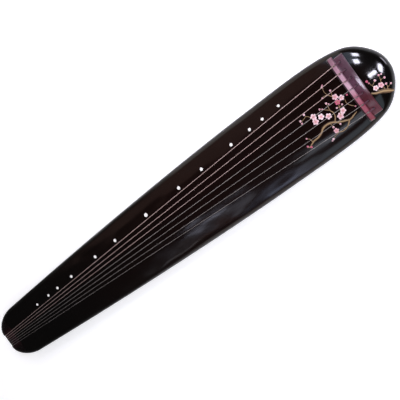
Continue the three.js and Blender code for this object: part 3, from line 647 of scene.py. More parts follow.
past = 0.01  # how far a cutter reaches past what it cuts
overAll = 0.1
chamber = {"fromHead": 0.165, "toTail": 0.110, "wall": 0.018, "roof": 0.011, "spine": (0.40, -0.45)}
pegPool = {"x": 0.533, "length": 0.1509, "width": 0.026, "depth": 0.019}
soundHoles = {
    "dragon_pool_trim": {"x": 0.0720, "length": 0.205, "rim": "dragonPoolRim", "pad": "dragonPoolPad"},
    "phoenix_pond_trim": {"x": -0.3608, "length": 0.110, "rim": "phoenixPondRim", "pad": "phoenixPondPad"},
}
holeSizes = {"width": 0.026, "rim": 0.003, "rimDepth": 0.004, "rimRound": 0.0006, "fit": 0.0003}
tail = {"notchX": -0.6055, "crestX": -0.5955, "notchHalf": 0.018, "capLength": 0.036, "capSlant": 0.012,
        "capDepth": 0.020, "fit": 0.0001}
sides = {"far": 1, "near": -1}


def chamberLoop(steps=60):
    start, end = chamber["fromHead"], bodyShape["Length"] - chamber["toTail"]
    half = []
    for step in range(steps + 1):
        u = start + (end - start) * step / steps
        half.append((bodyShape["Length"] / 2 - u, outlineHalfWidth(u) - chamber["wall"]))
    return half + [(x, -y) for x, y in reversed(half)]


def insetLoop(loop, inset):
    moved = []
    for index, (x, y) in enumerate(loop):
        before, after = Vector(loop[index - 1]), Vector(loop[(index + 1) % len(loop)])
        way = (after - before).normalized()
        moved.append((x - way.y * inset, y + way.x * inset))
    return moved


boardTree = archedBoardTree()
bodyLoop = outlineLoop()
topBoard = grow(loopPiece("topBoard", bodyLoop), boardTree, {})
spineHead, spineTail = chamber["spine"]
hollow = grow(loopPiece("hollow", chamberLoop()), boardTree, {
    "Roof Drop": chamber["roof"], "Edge Width": 0.0001, "Edge Depth": 0.0, "Seam Height": 0.03,
    "Spine Head": spineHead, "Spine Tail": spineTail,
})
seam, rest = bodyShape["Seam Height"], bodyShape["Rest Height"]
behind = -bodyShape["Length"] / 2 - past
openings = [  # the peg pool and the notch for the nut go through both boards: (loop, low, high)
    (slotLoop(pegPool["x"], pegPool["length"], pegPool["width"], turned=True), rest - past,
     rest + pegPool["depth"]),
    (boxLoop((behind + tail["notchX"]) / 2, 0, (tail["notchX"] - behind) / 2, tail["notchHalf"]), rest - past,
     overAll),
]
carve(topBoard, hollow)
remove(hollow)
for opening in openings:
    carveLoop(topBoard, *opening)


def capLoop(side, extra):
    # one corner cap of the tail, seen from above
    front = -bodyShape["Length"] / 2 + tail["capLength"] + extra
    inner, outer = tail["notchHalf"] + tail["fit"] - extra, bodyShape["Half Width"]
    points = [(behind, inner), (front, inner), (front - tail["capSlant"], outer), (behind, outer)]
    return [(x, side * y) for x, y in (points if side > 0 else reversed(points))]


tailCaps = {}
capFloor = surfaceHeight(tail["crestX"], 0) - tail["capDepth"]
for label, side in sides.items():
    cap = newPiece("tailCap" + label.capitalize(), [])
    cap.data = topBoard.data.copy()
    tailCaps[label] = carveLoop(cap, capLoop(side, 0), capFloor, overAll, "INTERSECT")
    carveLoop(topBoard, capLoop(side, tail["fit"]), capFloor - tail["fit"], overAll)


def addRim(piece):
    # how far each point has dipped below the arch: 0 on the top, 1 at the rim
    shape = bodyShape
    values = []
    for point in piece.data.vertices:
        x, y, z = point.co
        fade = max(0, shape["Length"] / 2 - x - shape["Fade Start"]) / (shape["Length"] - shape["Fade Start"])
        deep = shape["Edge Depth"] * (1 - shape["Edge Fade"] * fade)
        values.append(min(1, max(0, (surfaceHeight(x, y) - z) / deep)))
    mark(piece, "rimShare", values)


def bareInside(piece, inside):
    # the faces that the test finds are bare wood
    piece.data.materials.append(bareWood)
    for face in piece.data.polygons:
        if inside(face.center):
            face.material_index = 1


def inChamber(spot, slack=0.0001):
    u = bodyShape["Length"] / 2 - spot.x
    within = chamber["fromHead"] - slack < u < bodyShape["Length"] - chamber["toTail"] + slack
    under = seam + slack < spot.z < surfaceHeight(spot.x, spot.y) - chamber["roof"] + 10 * slack
    return within and under and abs(spot.y) < outlineHalfWidth(u) - chamber["wall"] + 5 * slack


addRim(topBoard)
shade(topBoard)
dress(topBoard, lacquer, ["top_board"])
bareInside(topBoard, inChamber)
for label, cap in tailCaps.items():
    shade(cap)
    dress(cap, capWood, ["tail_cap_" + label])
print("top board and tail caps,", len(topBoard.data.vertices), "points")


# the bottom board: its floor is drawn in by a round of three millimetres
bottomRound = {"radius": 0.003, "steps": 5}
insets = []
for step in range(bottomRound["steps"] + 1):
    turn, radius = math.pi / 2 * step / bottomRound["steps"], bottomRound["radius"]
    insets.append((radius * (1 - math.sin(turn)), rest + radius * (1 - math.cos(turn))))
insets.append((0, seam))
bottomBoard = ringPiece("bottomBoard", [[(x, y, height) for x, y in insetLoop(bodyLoop, inset)]
                                        for inset, height in insets])
for opening in openings:
    carveLoop(bottomBoard, *opening)
for hole in soundHoles.values():
    rebate = 2 * (holeSizes["rim"] + holeSizes["fit"])
    for extra, high in ((0, seam + past), (rebate, rest + holeSizes["rimDepth"])):
        loop = slotLoop(hole["x"], hole["length"] + extra, holeSizes["width"] + extra)
        carveLoop(bottomBoard, loop, rest - past, high)
dress(shade(bottomBoard), lacquer, ["bottom_board"])
bareInside(bottomBoard, lambda spot: spot.z > seam - 0.0001)
roofPad = {"width": 0.058, "margin": 0.014, "thick": 0.006, "bedded": 0.003, "round": 0.0015}
for hole in soundHoles.values():
    reach, half = hole["length"] / 2 + roofPad["margin"], roofPad["width"] / 2
    low = surfaceHeight(hole["x"], half) - chamber["roof"] - roofPad["thick"]
    high = low + roofPad["thick"] + roofPad["bedded"]
    pad = slab(hole["pad"], boxLoop(hole["x"], 0, reach, half), low, high)
    dress(shade(soften(pad, roofPad["round"])), bareWood, [])
for name in ("front_post", "rear_post", "foot_block_far", "foot_block_near"):
    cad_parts[name].material_slots[0].material = bareWood
print("bottom board,", len(bottomBoard.data.vertices), "points")


# bridge and head plate
strings = {
    "count": 7,
    "bridgeX": 0.5115,
    "nutX": tail["crestX"],
    "bridgeHalf": 0.060153,
    "nutHalf": 0.0168,
    "thickest": 0.0014,
    "thinnest": 0.0008,
}
bridge = {"thick": 0.0125, "width": 0.1589, "rise": 0.017, "inlay": 0.004, "endRound": 0.006,
          "edges": (0.0026, 0.0016),  # rounding towards the tail and towards the head
          "notchDepth": 0.0005, "notchHalf": 0.0011,
          "stringSideShade": (0.003, 0.004, 0.06)}  # painted shade on its string side: dark to here, unshaded from here, how dark
headPlate = {"length": 0.0215, "width": 0.1469, "rise": 0.006, "inlay": 0.0025, "endRound": 0.003,
             "edges": (0.0004, 0.0016), "gap": 0.0002, "holeRadius": 0.0025,
             "fall": (0.0065, 0.001, 0.04)}  # length, depth and half width of the gentle fall to the head
strip = {"stations": 150, "endSteps": 12, "notchSteps": 4, "arcSteps": 5, "corner": 0.0012,
         "fallShares": (0.85, 0.7, 0.55, 0.4, 0.25, 0.12, 0.0), "fallPower": 1.3}
stringNumbers = range(strings["count"])


def stringY(number, place):
    # across the body at the bridge or the nut
    return strings[place + "Half"] * (1 - 2 * number / (strings["count"] - 1))


def stringRadius(number):
    step = number / (strings["count"] - 1)
    return (strings["thickest"] + (strings["thinnest"] - strings["thickest"]) * step) / 2


def archedStrip(name, start, end, sizes, notches=()):
    # a cross strip that follows the arch: one ring of points at each station across the body
    half, roundOff, corner = sizes["width"] / 2, sizes["endRound"], strip["corner"]
    fallLength, deepestFall, fallHalf = sizes.get("fall", (0, 0, 1))
    notchHalf = sizes.get("notchHalf", 0)
    stations = {-half + sizes["width"] * step / strip["stations"] for step in range(strip["stations"] + 1)}
    bends = [1 - math.sin(math.pi / 2 * step / strip["endSteps"]) for step in range(strip["endSteps"] + 1)]
    stations |= {side * (half - roundOff * bend) for side in (-1, 1) for bend in bends}
    stations |= {y + notchHalf * step / strip["notchSteps"] for y in notches for step in range(-6, 7)}
    middle, rings = (start + end) / 2, []
    low, high = sizes["edges"]
    for y in sorted(stations):
        over = max(0, abs(y) - half + roundOff)
        top = surfaceHeight(middle, y) + sizes["rise"] - roundOff
        top += math.sqrt(max(0, roundOff ** 2 - over ** 2))
        for notch in notches:
            near = abs(y - notch) / notchHalf
            top -= sizes["notchDepth"] * max(0, math.cos(math.pi / 2 * min(1, near)))
        edge = max(0, abs(y) - half + corner)
        pull = corner - math.sqrt(max(0, corner ** 2 - edge ** 2))
        bottom = surfaceHeight(middle, y) - sizes["inlay"]
        ring = [(start + pull, y, bottom), (end - pull, y, bottom)]
        fall = deepestFall * max(0, 1 - (y / fallHalf) ** 2)
        for radius, side, x, drop in ((high, 1, end - pull, fall), (low, -1, start + pull, 0)):
            turns = [math.pi / 2 * step / strip["arcSteps"] for step in range(strip["arcSteps"] + 1)][::side]
            ring += [(x - side * radius * (1 - math.cos(turn)), y, top - drop - radius * (1 - math.sin(turn)))
                     for turn in turns]
            if side > 0 and deepestFall:
                fallStart, power = end - pull - high - fallLength, strip["fallPower"]
                ring += [(fallStart + fallLength * share, y, top - fall * share ** power)
                         for share in strip["fallShares"]]
        rings.append(ring)
    return ringPiece(name, rings, flipped=True)


bridgeEnd = strings["bridgeX"] + bridge["thick"]
bridgePlaces = [stringY(number, "bridge") for number in stringNumbers]
bridgePiece = archedStrip("bridgeStrip", strings["bridgeX"], bridgeEnd, bridge, bridgePlaces)
# painted shade along the string-side edge of the bridge
shadeFullTo, shadeNoneFrom, shadeLeast = bridge["stringSideShade"]
shadeBridgeStringSide(bridgeWood, strings["bridgeX"] + shadeFullTo, strings["bridgeX"] + shadeNoneFrom, shadeLeast)
dress(shade(bridgePiece), bridgeWood, ["bridge"])
plateStart = bridgeEnd + headPlate["gap"]
platePiece = archedStrip("headPlate", plateStart, plateStart + headPlate["length"], headPlate)


def bridgeTop(y):
    return surfaceHeight(strings["bridgeX"] + bridge["thick"] / 2, y) + bridge["rise"]


def ringOfPoints(radius, steps, x=0, y=0):
    turns = [2 * math.pi * step / steps for step in range(steps)]
    return [(x + radius * math.cos(turn), y + radius * math.sin(turn)) for turn in turns]


for y in bridgePlaces:
    carveLoop(platePiece, ringOfPoints(headPlate["holeRadius"], 32, pegPool["x"], y), seam, overAll)
dress(shade(platePiece), plateWood, ["head_plate"])
print("bridge and head plate")


# nut, lower nut, peg guards
def sectionPiece(name, section, width, middle=0):
    # an (x, z) section carried across the body
    rings = [[(x, middle + side * width / 2, z) for x, z in section] for side in (-1, 1)]
    return ringPiece(name, rings, flipped=True)


def arcPoints(x, z, radius, start, end, steps=8):
    turns = [math.radians(start + (end - start) * step / steps) for step in range(steps + 1)]
    return [(x + radius * math.cos(turn), z + radius * math.sin(turn)) for turn in turns]


nut = {"length": 0.030, "width": 0.0354, "rise": 0.0023, "depth": 0.012, "crest": 0.010,
       "crestArc": (78, 110), "endRound": 0.0034, "endDrop": 0.0006, "endArc": (115, 180), "soft": 0.0006,
       "lowerLength": 0.020, "lowerDrop": 0.002, "lowerDepth": 0.007, "lowerRound": 0.003,
       "lowerSoft": 0.0005}
nutTop = surfaceHeight(strings["nutX"], 0) + nut["rise"]
front, floorZ = tail["notchX"] + nut["length"], nutTop - nut["depth"]
nutPiece = sectionPiece("tailNut", [
    (tail["notchX"], floorZ), (front, floorZ), (front, surfaceHeight(front, 0)),
    *arcPoints(strings["nutX"], nutTop - nut["crest"], nut["crest"], *nut["crestArc"]),
    *arcPoints(tail["notchX"] + nut["endRound"], nutTop - nut["endDrop"] - nut["endRound"], nut["endRound"],
               *nut["endArc"]),
], nut["width"])
dress(shade(soften(nutPiece, nut["soft"])), darkRosewood, ["nut"])
low = rest - nut["lowerDrop"]
lowerFront = tail["notchX"] + nut["lowerLength"]
lowerNut = sectionPiece("lowerNut", [
    (tail["notchX"], rest + nut["lowerDepth"]),
    *arcPoints(tail["notchX"] + nut["lowerRound"], low + nut["lowerRound"], nut["lowerRound"], 180, 270),
    (lowerFront - nut["lowerDrop"], low), (lowerFront, rest), (lowerFront, rest + nut["lowerDepth"]),
], nut["width"])
dress(shade(soften(lowerNut, nut["lowerSoft"])), darkRosewood, ["lower_nut"])

guard = {"x": 0.5, "y": 0.079754, "length": 0.042, "thick": 0.012, "taper": 0.0015, "round": 0.0016,
         "tenon": (0.024, 0.006, 0.008), "tenonRoot": 0.004}
for label, side in sides.items():
    reach, taper, y = guard["length"] / 2, guard["taper"], side * guard["y"]
    section = [(taper - reach, 0), (reach - taper, 0), (reach, taper), (reach, rest), (-reach, rest),
               (-reach, taper)]
    piece = sectionPiece("pegGuard" + label.capitalize(), [(guard["x"] + x, z) for x, z in section],
                         guard["thick"], y)
    soften(piece, guard["round"], 4)
    long, thick, deep = guard["tenon"]
    tenonLoop = boxLoop(guard["x"], y, long / 2, thick / 2)
    carveLoop(piece, tenonLoop, rest - guard["tenonRoot"], rest + deep, "UNION")
    dress(shade(piece), darkRosewood, ["peg_guard_" + label])
print("nuts and peg guards")


# feet and pegs are turned
def turnedPiece(name, x, y, profile, steps=64, flutes=0):
    # profile: (radius, height, depth of the flutes) from the low end up; a zero radius closes it
    rings = []
    for radius, height, flute in profile:
        turns = [2 * math.pi * step / steps for step in range(steps)]
        reaches = [radius - flute * (1 - math.cos(flutes * turn)) / 2 for turn in turns]
        rings.append([(x + reach * math.cos(turn), y + reach * math.sin(turn), height)
                      for reach, turn in zip(reaches, turns)])
    piece = ringPiece(name, rings, capped=False, closed=profile[0][0] > 0)
    weld = piece.modifiers.new("weld", "WELD")
    weld.merge_threshold = 0.000001
    return settle(piece)


def roundedProfile(corners, steps=4):
    # corners: (radius, height, rounding); every rounding becomes an arc
    rows = []
    for index, (radius, height, bend) in enumerate(corners):
        here = Vector((radius, height))
        if not bend:
            rows.append((radius, height, 0))
            continue
        before = (Vector(corners[index - 1][:2]) - here).normalized() * bend
        after = (Vector(corners[(index + 1) % len(corners)][:2]) - here).normalized() * bend
        for step in range(steps + 1):
            share = step / steps
            point = here + before * (1 - share) ** 2 + after * share ** 2
            rows.append((point.x, point.y, 0))
    return rows


foot = {"x": -0.2634, "y": 0.042219, "radius": 0.0145, "neck": 0.0122, "lip": 0.0032, "topLip": 0.0016,
        "tenonSide": 0.012, "tenonTop": 0.053, "tenonRoot": 0.002,
        "bends": (0.0011, 0.0006, 0.0006, 0.0006, 0.0004, 0.0002)}  # rounding of each edge from the floor up
for label, side in sides.items():
    slope = (foot["radius"] - foot["neck"]) / 2
    neckTop = rest - foot["topLip"]
    edges = [(foot["radius"], 0), (foot["radius"], foot["lip"]), (foot["neck"], foot["lip"] + slope),
             (foot["neck"], neckTop - slope), (foot["radius"], neckTop), (foot["radius"], rest)]
    rounded = [(*edge, bend) for edge, bend in zip(edges, foot["bends"])]
    profile = roundedProfile([(0, 0, 0), *rounded, (0, rest, 0)])
    y, reach = side * foot["y"], foot["tenonSide"] / 2
    piece = turnedPiece("foot" + label.capitalize(), foot["x"], y, profile)
    carveLoop(piece, boxLoop(foot["x"], y, reach, reach), rest - foot["tenonRoot"], foot["tenonTop"], "UNION")
    dress(shade(piece), darkRosewood, ["foot_" + label])

peg = {"radius": 0.0076, "footRadius": 0.0066, "length": 0.045, "head": 0.004, "neckRadius": 0.005,
       "neckLength": 0.008, "bore": 0.0019, "flutes": 8, "fluteDepth": 0.0007, "top": 0.0477,
       "bends": (0.0012, 0.0006, 0.0003, 0.0003, 0.0005, 0.0008),  # rounding of each edge from the foot up
       "fluteShares": (0.06, 0.12, 0.22, 0.35, 0.5, 0.65, 0.78, 0.88, 0.94)}
for number in stringNumbers:
    low, high = peg["top"] - peg["length"], peg["top"]
    neckHigh, neckLow = high - peg["head"], high - peg["head"] - peg["neckLength"]
    edges = [(peg["footRadius"], low), (peg["radius"], neckLow), (peg["neckRadius"], neckLow),
             (peg["neckRadius"], neckHigh), (peg["radius"], neckHigh), (peg["radius"], high)]
    outer = roundedProfile([(*edge, bend) for edge, bend in zip(edges, peg["bends"])])
    # the flutes run up the tapered body and fade out below the neck
    body = [(peg["footRadius"] + (peg["radius"] - peg["footRadius"]) * share, low + (neckLow - low) * share,
             peg["fluteDepth"] * math.sin(math.pi * share) ** 0.5) for share in peg["fluteShares"]]
    profile = [(peg["bore"], low, 0), *outer[:5], *body, *outer[5:], (peg["bore"], high, 0)]
    piece = turnedPiece(f"peg{number + 1}", pegPool["x"], bridgePlaces[number], profile, 48, peg["flutes"])
    dress(shade(piece), darkRosewood, [f"peg_{number + 1}"], f"peg_{number + 1}_body")
print("feet and pegs")


# cords: strings, silk tufts and the silk wound on the pegs, each grown along its path
def cordTree():
    tree, path, known = newShapeTree("laidCord", {
        "Sides": 10, "Lobes": 0, "Lobe Depth": 0.0, "Turns Per Metre": 0.0, "Bend Radius": 0.0015,
        "Finish": rosyString,
    })
    known["length"] = addNode(tree, "GeometryNodeSplineParameter").outputs["Length"]
    known["share"] = addNode(tree, "GeometryNodeSplineParameter").outputs["Factor"]
    follow(tree, known, [
        ("turns", "MULTIPLY", "length", "Turns Per Metre"),
        ("twist", "MULTIPLY", "turns", 2 * math.pi),
        ("lobe", "MULTIPLY", "share", "Lobes"),
        ("angle", "MULTIPLY", "lobe", 2 * math.pi),
        ("wave", "COSINE", "angle"),
        ("less", "SUBTRACT", "wave", 1.0),
        ("reach", "MULTIPLY_ADD", "less", "Lobe Depth", 1.0),
    ])
    line = addNode(tree, "GeometryNodeMeshToCurve", {0: path})
    bent = addNode(tree, "GeometryNodeFilletCurve", {0: line, "Radius": known["Bend Radius"]})
    named = {0: bent, "Name": "along", "Value": known["length"]}
    stored = addNode(tree, "GeometryNodeStoreNamedAttribute", named)
    tilted = addNode(tree, "GeometryNodeSetCurveTilt", {0: stored, "Tilt": known["twist"]})
    circle = addNode(tree, "GeometryNodeCurvePrimitiveCircle", {0: known["Sides"], "Radius": 1.0})
    named = {0: circle, "Name": "around", "Value": known["share"]}
    ring = addNode(tree, "GeometryNodeStoreNamedAttribute", named)
    spot = addNode(tree, "GeometryNodeInputPosition")
    shaped = addNode(tree, "ShaderNodeVectorMath", {0: spot, "Scale": known["reach"]}, operation="SCALE")
    plied = addNode(tree, "GeometryNodeSetPosition", {0: ring, "Position": shaped})
    thick = addNode(tree, "GeometryNodeInputNamedAttribute", {"Name": "thick"})
    swept = addNode(tree, "GeometryNodeCurveToMesh", {0: tilted, 1: plied, "Scale": thick, "Fill Caps": True})
    return endTree(tree, swept, known["Finish"])


def cordPiece(name, points, radius, sizes):
    piece = newPiece(name, points, edges=[(index, index + 1) for index in range(len(points) - 1)])
    mark(piece, "thick", [radius] * len(points))
    return grow(piece, cordShape, sizes)


def helix(centre, radius, start, turns, rise, steps=16, axis="Z", way=1):
    # from the start angle, climbing along its axis by rise in each turn
    points = []
    for step in range(int(turns * steps) + 1):
        turn = start + way * 2 * math.pi * step / steps
        a, b, c = radius * math.cos(turn), radius * math.sin(turn), rise * step / steps
        points.append(Vector(centre) + (Vector((a, b, c)) if axis == "Z" else Vector((c, a, b))))
    return points


cordShape = cordTree()
knot = {"radius": 0.0019, "length": 0.0044, "turns": 3, "back": 0.0015}
winding = {"gap": 0.0005, "turns": 2, "steps": 48, "farFoot": 4, "fit": 0.0003}
overTail = {"overNut": 0.0024, "nutSag": 0.0002, "nutFall": 0.0036, "aboveRest": 0.001, "underNut": 0.0022}


def windingHeight(number):
    # where the winding of a string starts on its foot, below the ones before it
    first = 0 if number < winding["farFoot"] else winding["farFoot"]
    slope = foot["radius"] - foot["neck"]
    height = rest - foot["topLip"] - slope / 2 - winding["fit"] - stringRadius(first)
    for other in range(first, number):
        pitch = 2 * stringRadius(other) + winding["gap"]
        height -= pitch * winding["turns"] + stringRadius(other) + stringRadius(other + 1) + winding["gap"]
    return height


for number in stringNumbers:
    radius = stringRadius(number)
    yBridge, yNut = stringY(number, "bridge"), stringY(number, "nut")
    onBridge = bridgeTop(yBridge) + radius - bridge["notchDepth"]
    underNut = rest - nut["lowerDrop"] - radius
    coilStart = bridgeEnd - knot["back"]
    coilCentre = (coilStart, yBridge, bridgeTop(yBridge) + knot["radius"])
    coil = helix(coilCentre, knot["radius"] - radius, math.pi / 2, knot["turns"],
                 -knot["length"] / knot["turns"], axis="X")
    side = 1 if number < winding["farFoot"] else -1
    footCentre = (foot["x"], side * foot["y"], windingHeight(number))
    around = helix(footCentre, foot["neck"] + radius, -side * math.pi / 2, winding["turns"],
                   -2 * radius - winding["gap"], winding["steps"], way=side)
    route = [
        (coilStart - knot["length"] - knot["back"], yBridge, onBridge),
        (strings["bridgeX"], yBridge, onBridge),
        (strings["nutX"], yNut, nutTop + radius),
        (tail["notchX"] + overTail["overNut"], yNut, nutTop - overTail["nutSag"] + radius),
        (tail["notchX"] - radius, yNut, nutTop - overTail["nutFall"]),
        (tail["notchX"] - radius, yNut, rest + overTail["aboveRest"]),
        (tail["notchX"] + overTail["underNut"], yNut, underNut),
        (lowerFront - nut["lowerDrop"], yNut, underNut),
    ]
    points = [*coil, *(Vector(point) for point in route), *around]
    stringFinish = rosyString if number < rosyStrings else greyString
    piece = cordPiece(f"string{number + 1}", points, radius, {"Sides": 12, "Finish": stringFinish})
    dress(piece, stringFinish, [f"string_{number + 1}"])


tuft = {"radius": 0.0015, "rise": 0.0022, "inPeg": 0.026, "step": 0.0012, "easing": 3,
        "start": ((-0.0024, -0.0003), (-0.0008, 0)),  # on the bridge: (from its head side, up)
        "bends": ((0.22, 0.06), (0.64, 0.28), (0.93, 0.65))}  # shares of the way to the peg and down
wrap = {"radius": 0.00092, "turns": 3.9, "steps": 32, "fit": 0.0001}
silkSizes = {"Sides": 18, "Lobes": 2, "Lobe Depth": 0.16, "Turns Per Metre": 1 / 0.011,  # one turn in 11 mm
             "Finish": silk}
wrapSizes = dict(silkSizes, **{"Turns Per Metre": 1 / 0.007, "Bend Radius": 0.0001})
for number, y in enumerate(bridgePlaces):
    high = bridgeTop(y) + tuft["rise"]
    low = bridgeTop(y) - bridge["rise"] + headPlate["rise"]
    reach = pegPool["x"] - bridgeEnd
    points = [(bridgeEnd + back, y, high + up) for back, up in tuft["start"]]
    points += [(bridgeEnd + reach * along, y, high - (high - low) * down) for along, down in tuft["bends"]]
    points += [(pegPool["x"], y, low), (pegPool["x"], y, peg["top"] - tuft["inPeg"])]
    lines = []
    for before, after in zip(points, points[1:]):
        steps = max(2, round((Vector(after) - Vector(before)).length / tuft["step"]))
        lines += [Vector(before).lerp(Vector(after), step / steps) for step in range(steps)]
    lines.append(Vector(points[-1]))
    # the corners are eased by averaging each point with its neighbours
    for _ in range(tuft["easing"]):
        inner = [(before + here * 2 + after) / 4 for before, here, after in zip(lines, lines[1:], lines[2:])]
        lines = [lines[0], *inner, lines[-1]]
    piece = cordPiece(f"silkTuft{number + 1}", lines, tuft["radius"], silkSizes)
    dress(piece, silk, [f"tuft_{number + 1}"])
    top = peg["top"] - peg["head"] - wrap["radius"] - wrap["fit"]
    climb = peg["neckLength"] - 2 * (wrap["radius"] + wrap["fit"])
    wound = helix((pegPool["x"], y, top), peg["neckRadius"] + wrap["radius"], 0, wrap["turns"],
                  -climb / wrap["turns"], wrap["steps"])
    piece = cordPiece(f"pegSilk{number + 1}", wound, wrap["radius"], wrapSizes)
    dress(piece, silk, [f"peg_wrap_{number + 1}"], f"peg_{number + 1}_body")
print("strings and silk")


# rims of the sound holes, swept along each slot
def rimTree():
    tree, outline, known = newShapeTree("rimAlongSlot", {
        "Width": holeSizes["rim"], "Height": holeSizes["rimDepth"], "Round": holeSizes["rimRound"],
        "Finish": darkRosewood,
    })
    path = addNode(tree, "GeometryNodeMeshToCurve", {0: outline})
    level = addNode(tree, "GeometryNodeSetCurveNormal", {0: path}, mode="Z_UP")
    sizes = {label: known[label] for label in ("Width", "Height")}
    section = addNode(tree, "GeometryNodeCurvePrimitiveQuadrilateral", sizes)
    eased = addNode(tree, "GeometryNodeFilletCurve", {0: section, "Radius": known["Round"]})
    swept = addNode(tree, "GeometryNodeCurveToMesh", {0: level, 1: eased})
    return endTree(tree, swept, known["Finish"])


rimShape = rimTree()
for node, hole in soundHoles.items():
    path = slotLoop(hole["x"], hole["length"] + holeSizes["rim"], holeSizes["width"] + holeSizes["rim"])
    rimPiece = grow(loopPiece(hole["rim"], path, rest + holeSizes["rimDepth"] / 2), rimShape, {})
    dress(shade(rimPiece), darkRosewood, [node])
print("sound hole rims")


# what lies on the arched top: pearl markers and the painted plum branch
rayStart, rayLength = 0.15, 0.3  # rays fall on the board from this height, this far at most


def drape(tree, geometry, board, rise=None):
    # keeps x and y, and adds the height of the board under each point
    parts = addNode(tree, "ShaderNodeSeparateXYZ", {0: addNode(tree, "GeometryNodeInputPosition")}).outputs
    above = addNode(tree, "ShaderNodeCombineXYZ", {0: parts[0], 1: parts[1], 2: rayStart})
    target = addNode(tree, "GeometryNodeObjectInfo", {"Object": board}).outputs["Geometry"]
    ray = {"Target Geometry": target, "Source Position": above, "Ray Length": rayLength}
    hit = addNode(tree, "GeometryNodeRaycast", ray).outputs["Hit Position"]
    ground = addNode(tree, "ShaderNodeSeparateXYZ", {0: hit}).outputs[2]
    own = parts[2] if rise is None else rise
    height = addNode(tree, "ShaderNodeMath", {0: ground, 1: own}, operation="ADD")
    laid = addNode(tree, "ShaderNodeCombineXYZ", {0: parts[0], 1: parts[1], 2: height})
    return addNode(tree, "GeometryNodeSetPosition", {0: geometry, "Position": laid})


def drapedScatterTree():
    # one pattern at each point, sized and turned there, then laid down on the board
    tree, points, known = newShapeTree("drapedScatter", {"Pattern": None, "Board": None, "Finish": pearl})
    pattern = addNode(tree, "GeometryNodeObjectInfo", {"Object": known["Pattern"]}).outputs["Geometry"]
    spread = addNode(tree, "GeometryNodeInputNamedAttribute", {"Name": "size"})
    turn = addNode(tree, "GeometryNodeInputNamedAttribute", {"Name": "turn"})
    placed = addNode(tree, "GeometryNodeInstanceOnPoints", {
        0: points, "Instance": pattern, "Rotation": addNode(tree, "ShaderNodeCombineXYZ", {2: turn}),
        "Scale": addNode(tree, "ShaderNodeCombineXYZ", {0: spread, 1: spread, 2: 1.0}),
    })
    real = addNode(tree, "GeometryNodeRealizeInstances", {0: placed})
    return endTree(tree, drape(tree, real, known["Board"]), known["Finish"])


def drapedStrokeTree():
    # a brush stroke along each line, as wide as its points say
    tree, lines, known = newShapeTree("drapedStroke", {
        "Board": None, "Step": 0.0012, "Knobble": 0.3, "Knobble Length": 0.007, "Height": 0.0003,
        "Finish": pearl,
    })
    path = addNode(tree, "GeometryNodeMeshToCurve", {0: lines})
    smooth = addNode(tree, "GeometryNodeCurveSplineType", {0: path}, spline_type="CATMULL_ROM")
    dense = addNode(tree, "GeometryNodeResampleCurve", {0: smooth, "Length": known["Step"]}, mode="LENGTH")
    way = addNode(tree, "GeometryNodeSplineParameter").outputs["Length"]
    stored = addNode(tree, "GeometryNodeStoreNamedAttribute", {0: dense, "Name": "along", "Value": way})
    level = addNode(tree, "GeometryNodeSetCurveNormal", {0: stored}, mode="Z_UP")
    spot = addNode(tree, "ShaderNodeSeparateXYZ", {0: addNode(tree, "GeometryNodeInputPosition")})
    ring = addNode(tree, "GeometryNodeCurvePrimitiveCircle", {0: 12, "Radius": 1.0})
    for index, name in enumerate(("side", "rise")):
        named = {0: ring, "Name": name, "Value": spot.outputs[index]}
        ring = addNode(tree, "GeometryNodeStoreNamedAttribute", named)
    flat = addNode(tree, "ShaderNodeCombineXYZ", {0: spot})
    profile = addNode(tree, "GeometryNodeSetPosition", {0: ring, "Position": flat})
    for name in ("thick", "rise"):
        known[name] = addNode(tree, "GeometryNodeInputNamedAttribute", {"Name": name}).outputs[0]
    follow(tree, known, [("scale", "DIVIDE", 1.0, "Knobble Length")])
    known["bark"] = addNode(tree, "ShaderNodeTexNoise", {"Scale": known["scale"], "Detail": 1.0}).outputs[0]
    # the underside of the stroke stays shallow, so that it just sinks into the lacquer
    follow(tree, known, [
        ("uneven", "SUBTRACT", "bark", 0.5),
        ("knobble", "MULTIPLY_ADD", "uneven", "Knobble", 1.0),
        ("width", "MULTIPLY", "thick", "knobble"),
        ("swell", "MAXIMUM", "rise", -0.4),
        ("height", "MULTIPLY", "swell", "Height"),
    ])
    sweep = {0: level, 1: profile, "Scale": known["width"], "Fill Caps": True}
    swept = addNode(tree, "GeometryNodeCurveToMesh", sweep)
    return endTree(tree, drape(tree, swept, known["Board"], known["height"]), known["Finish"])


scatterTree, strokeTree = drapedScatterTree(), drapedStrokeTree()


def roundPattern(name, rings, steps, outline):
    # rings: (share of the radius, height, height of the relief)
    # the outline gives the radius at an angle and how much of the relief stands there
    turns = [2 * math.pi * step / steps for step in range(steps)]
    shape = [(*outline(turn), math.cos(turn), math.sin(turn)) for turn in turns]
    shaped = [[(share * reach * x, share * reach * y, height + relief * ridge) for reach, ridge, x, y in shape]
              for share, height, relief in rings]
    pattern = ringPiece(name, shaped, flipped=True)
    mark(pattern, "bloom", [share for share, *_ in rings for _ in turns])
    return pattern


def scattered(name, pattern, spots, finish):
    # spots: (x, y, radius, turn, tint)
    piece = newPiece(name, [(x, y, 0) for x, y, *_ in spots])
    for column, label in enumerate(("size", "turn", "tint"), 2):
        mark(piece, label, [spot[column] for spot in spots])
    return shade(grow(piece, scatterTree, {"Pattern": pattern, "Board": topBoard, "Finish": finish}), 60)


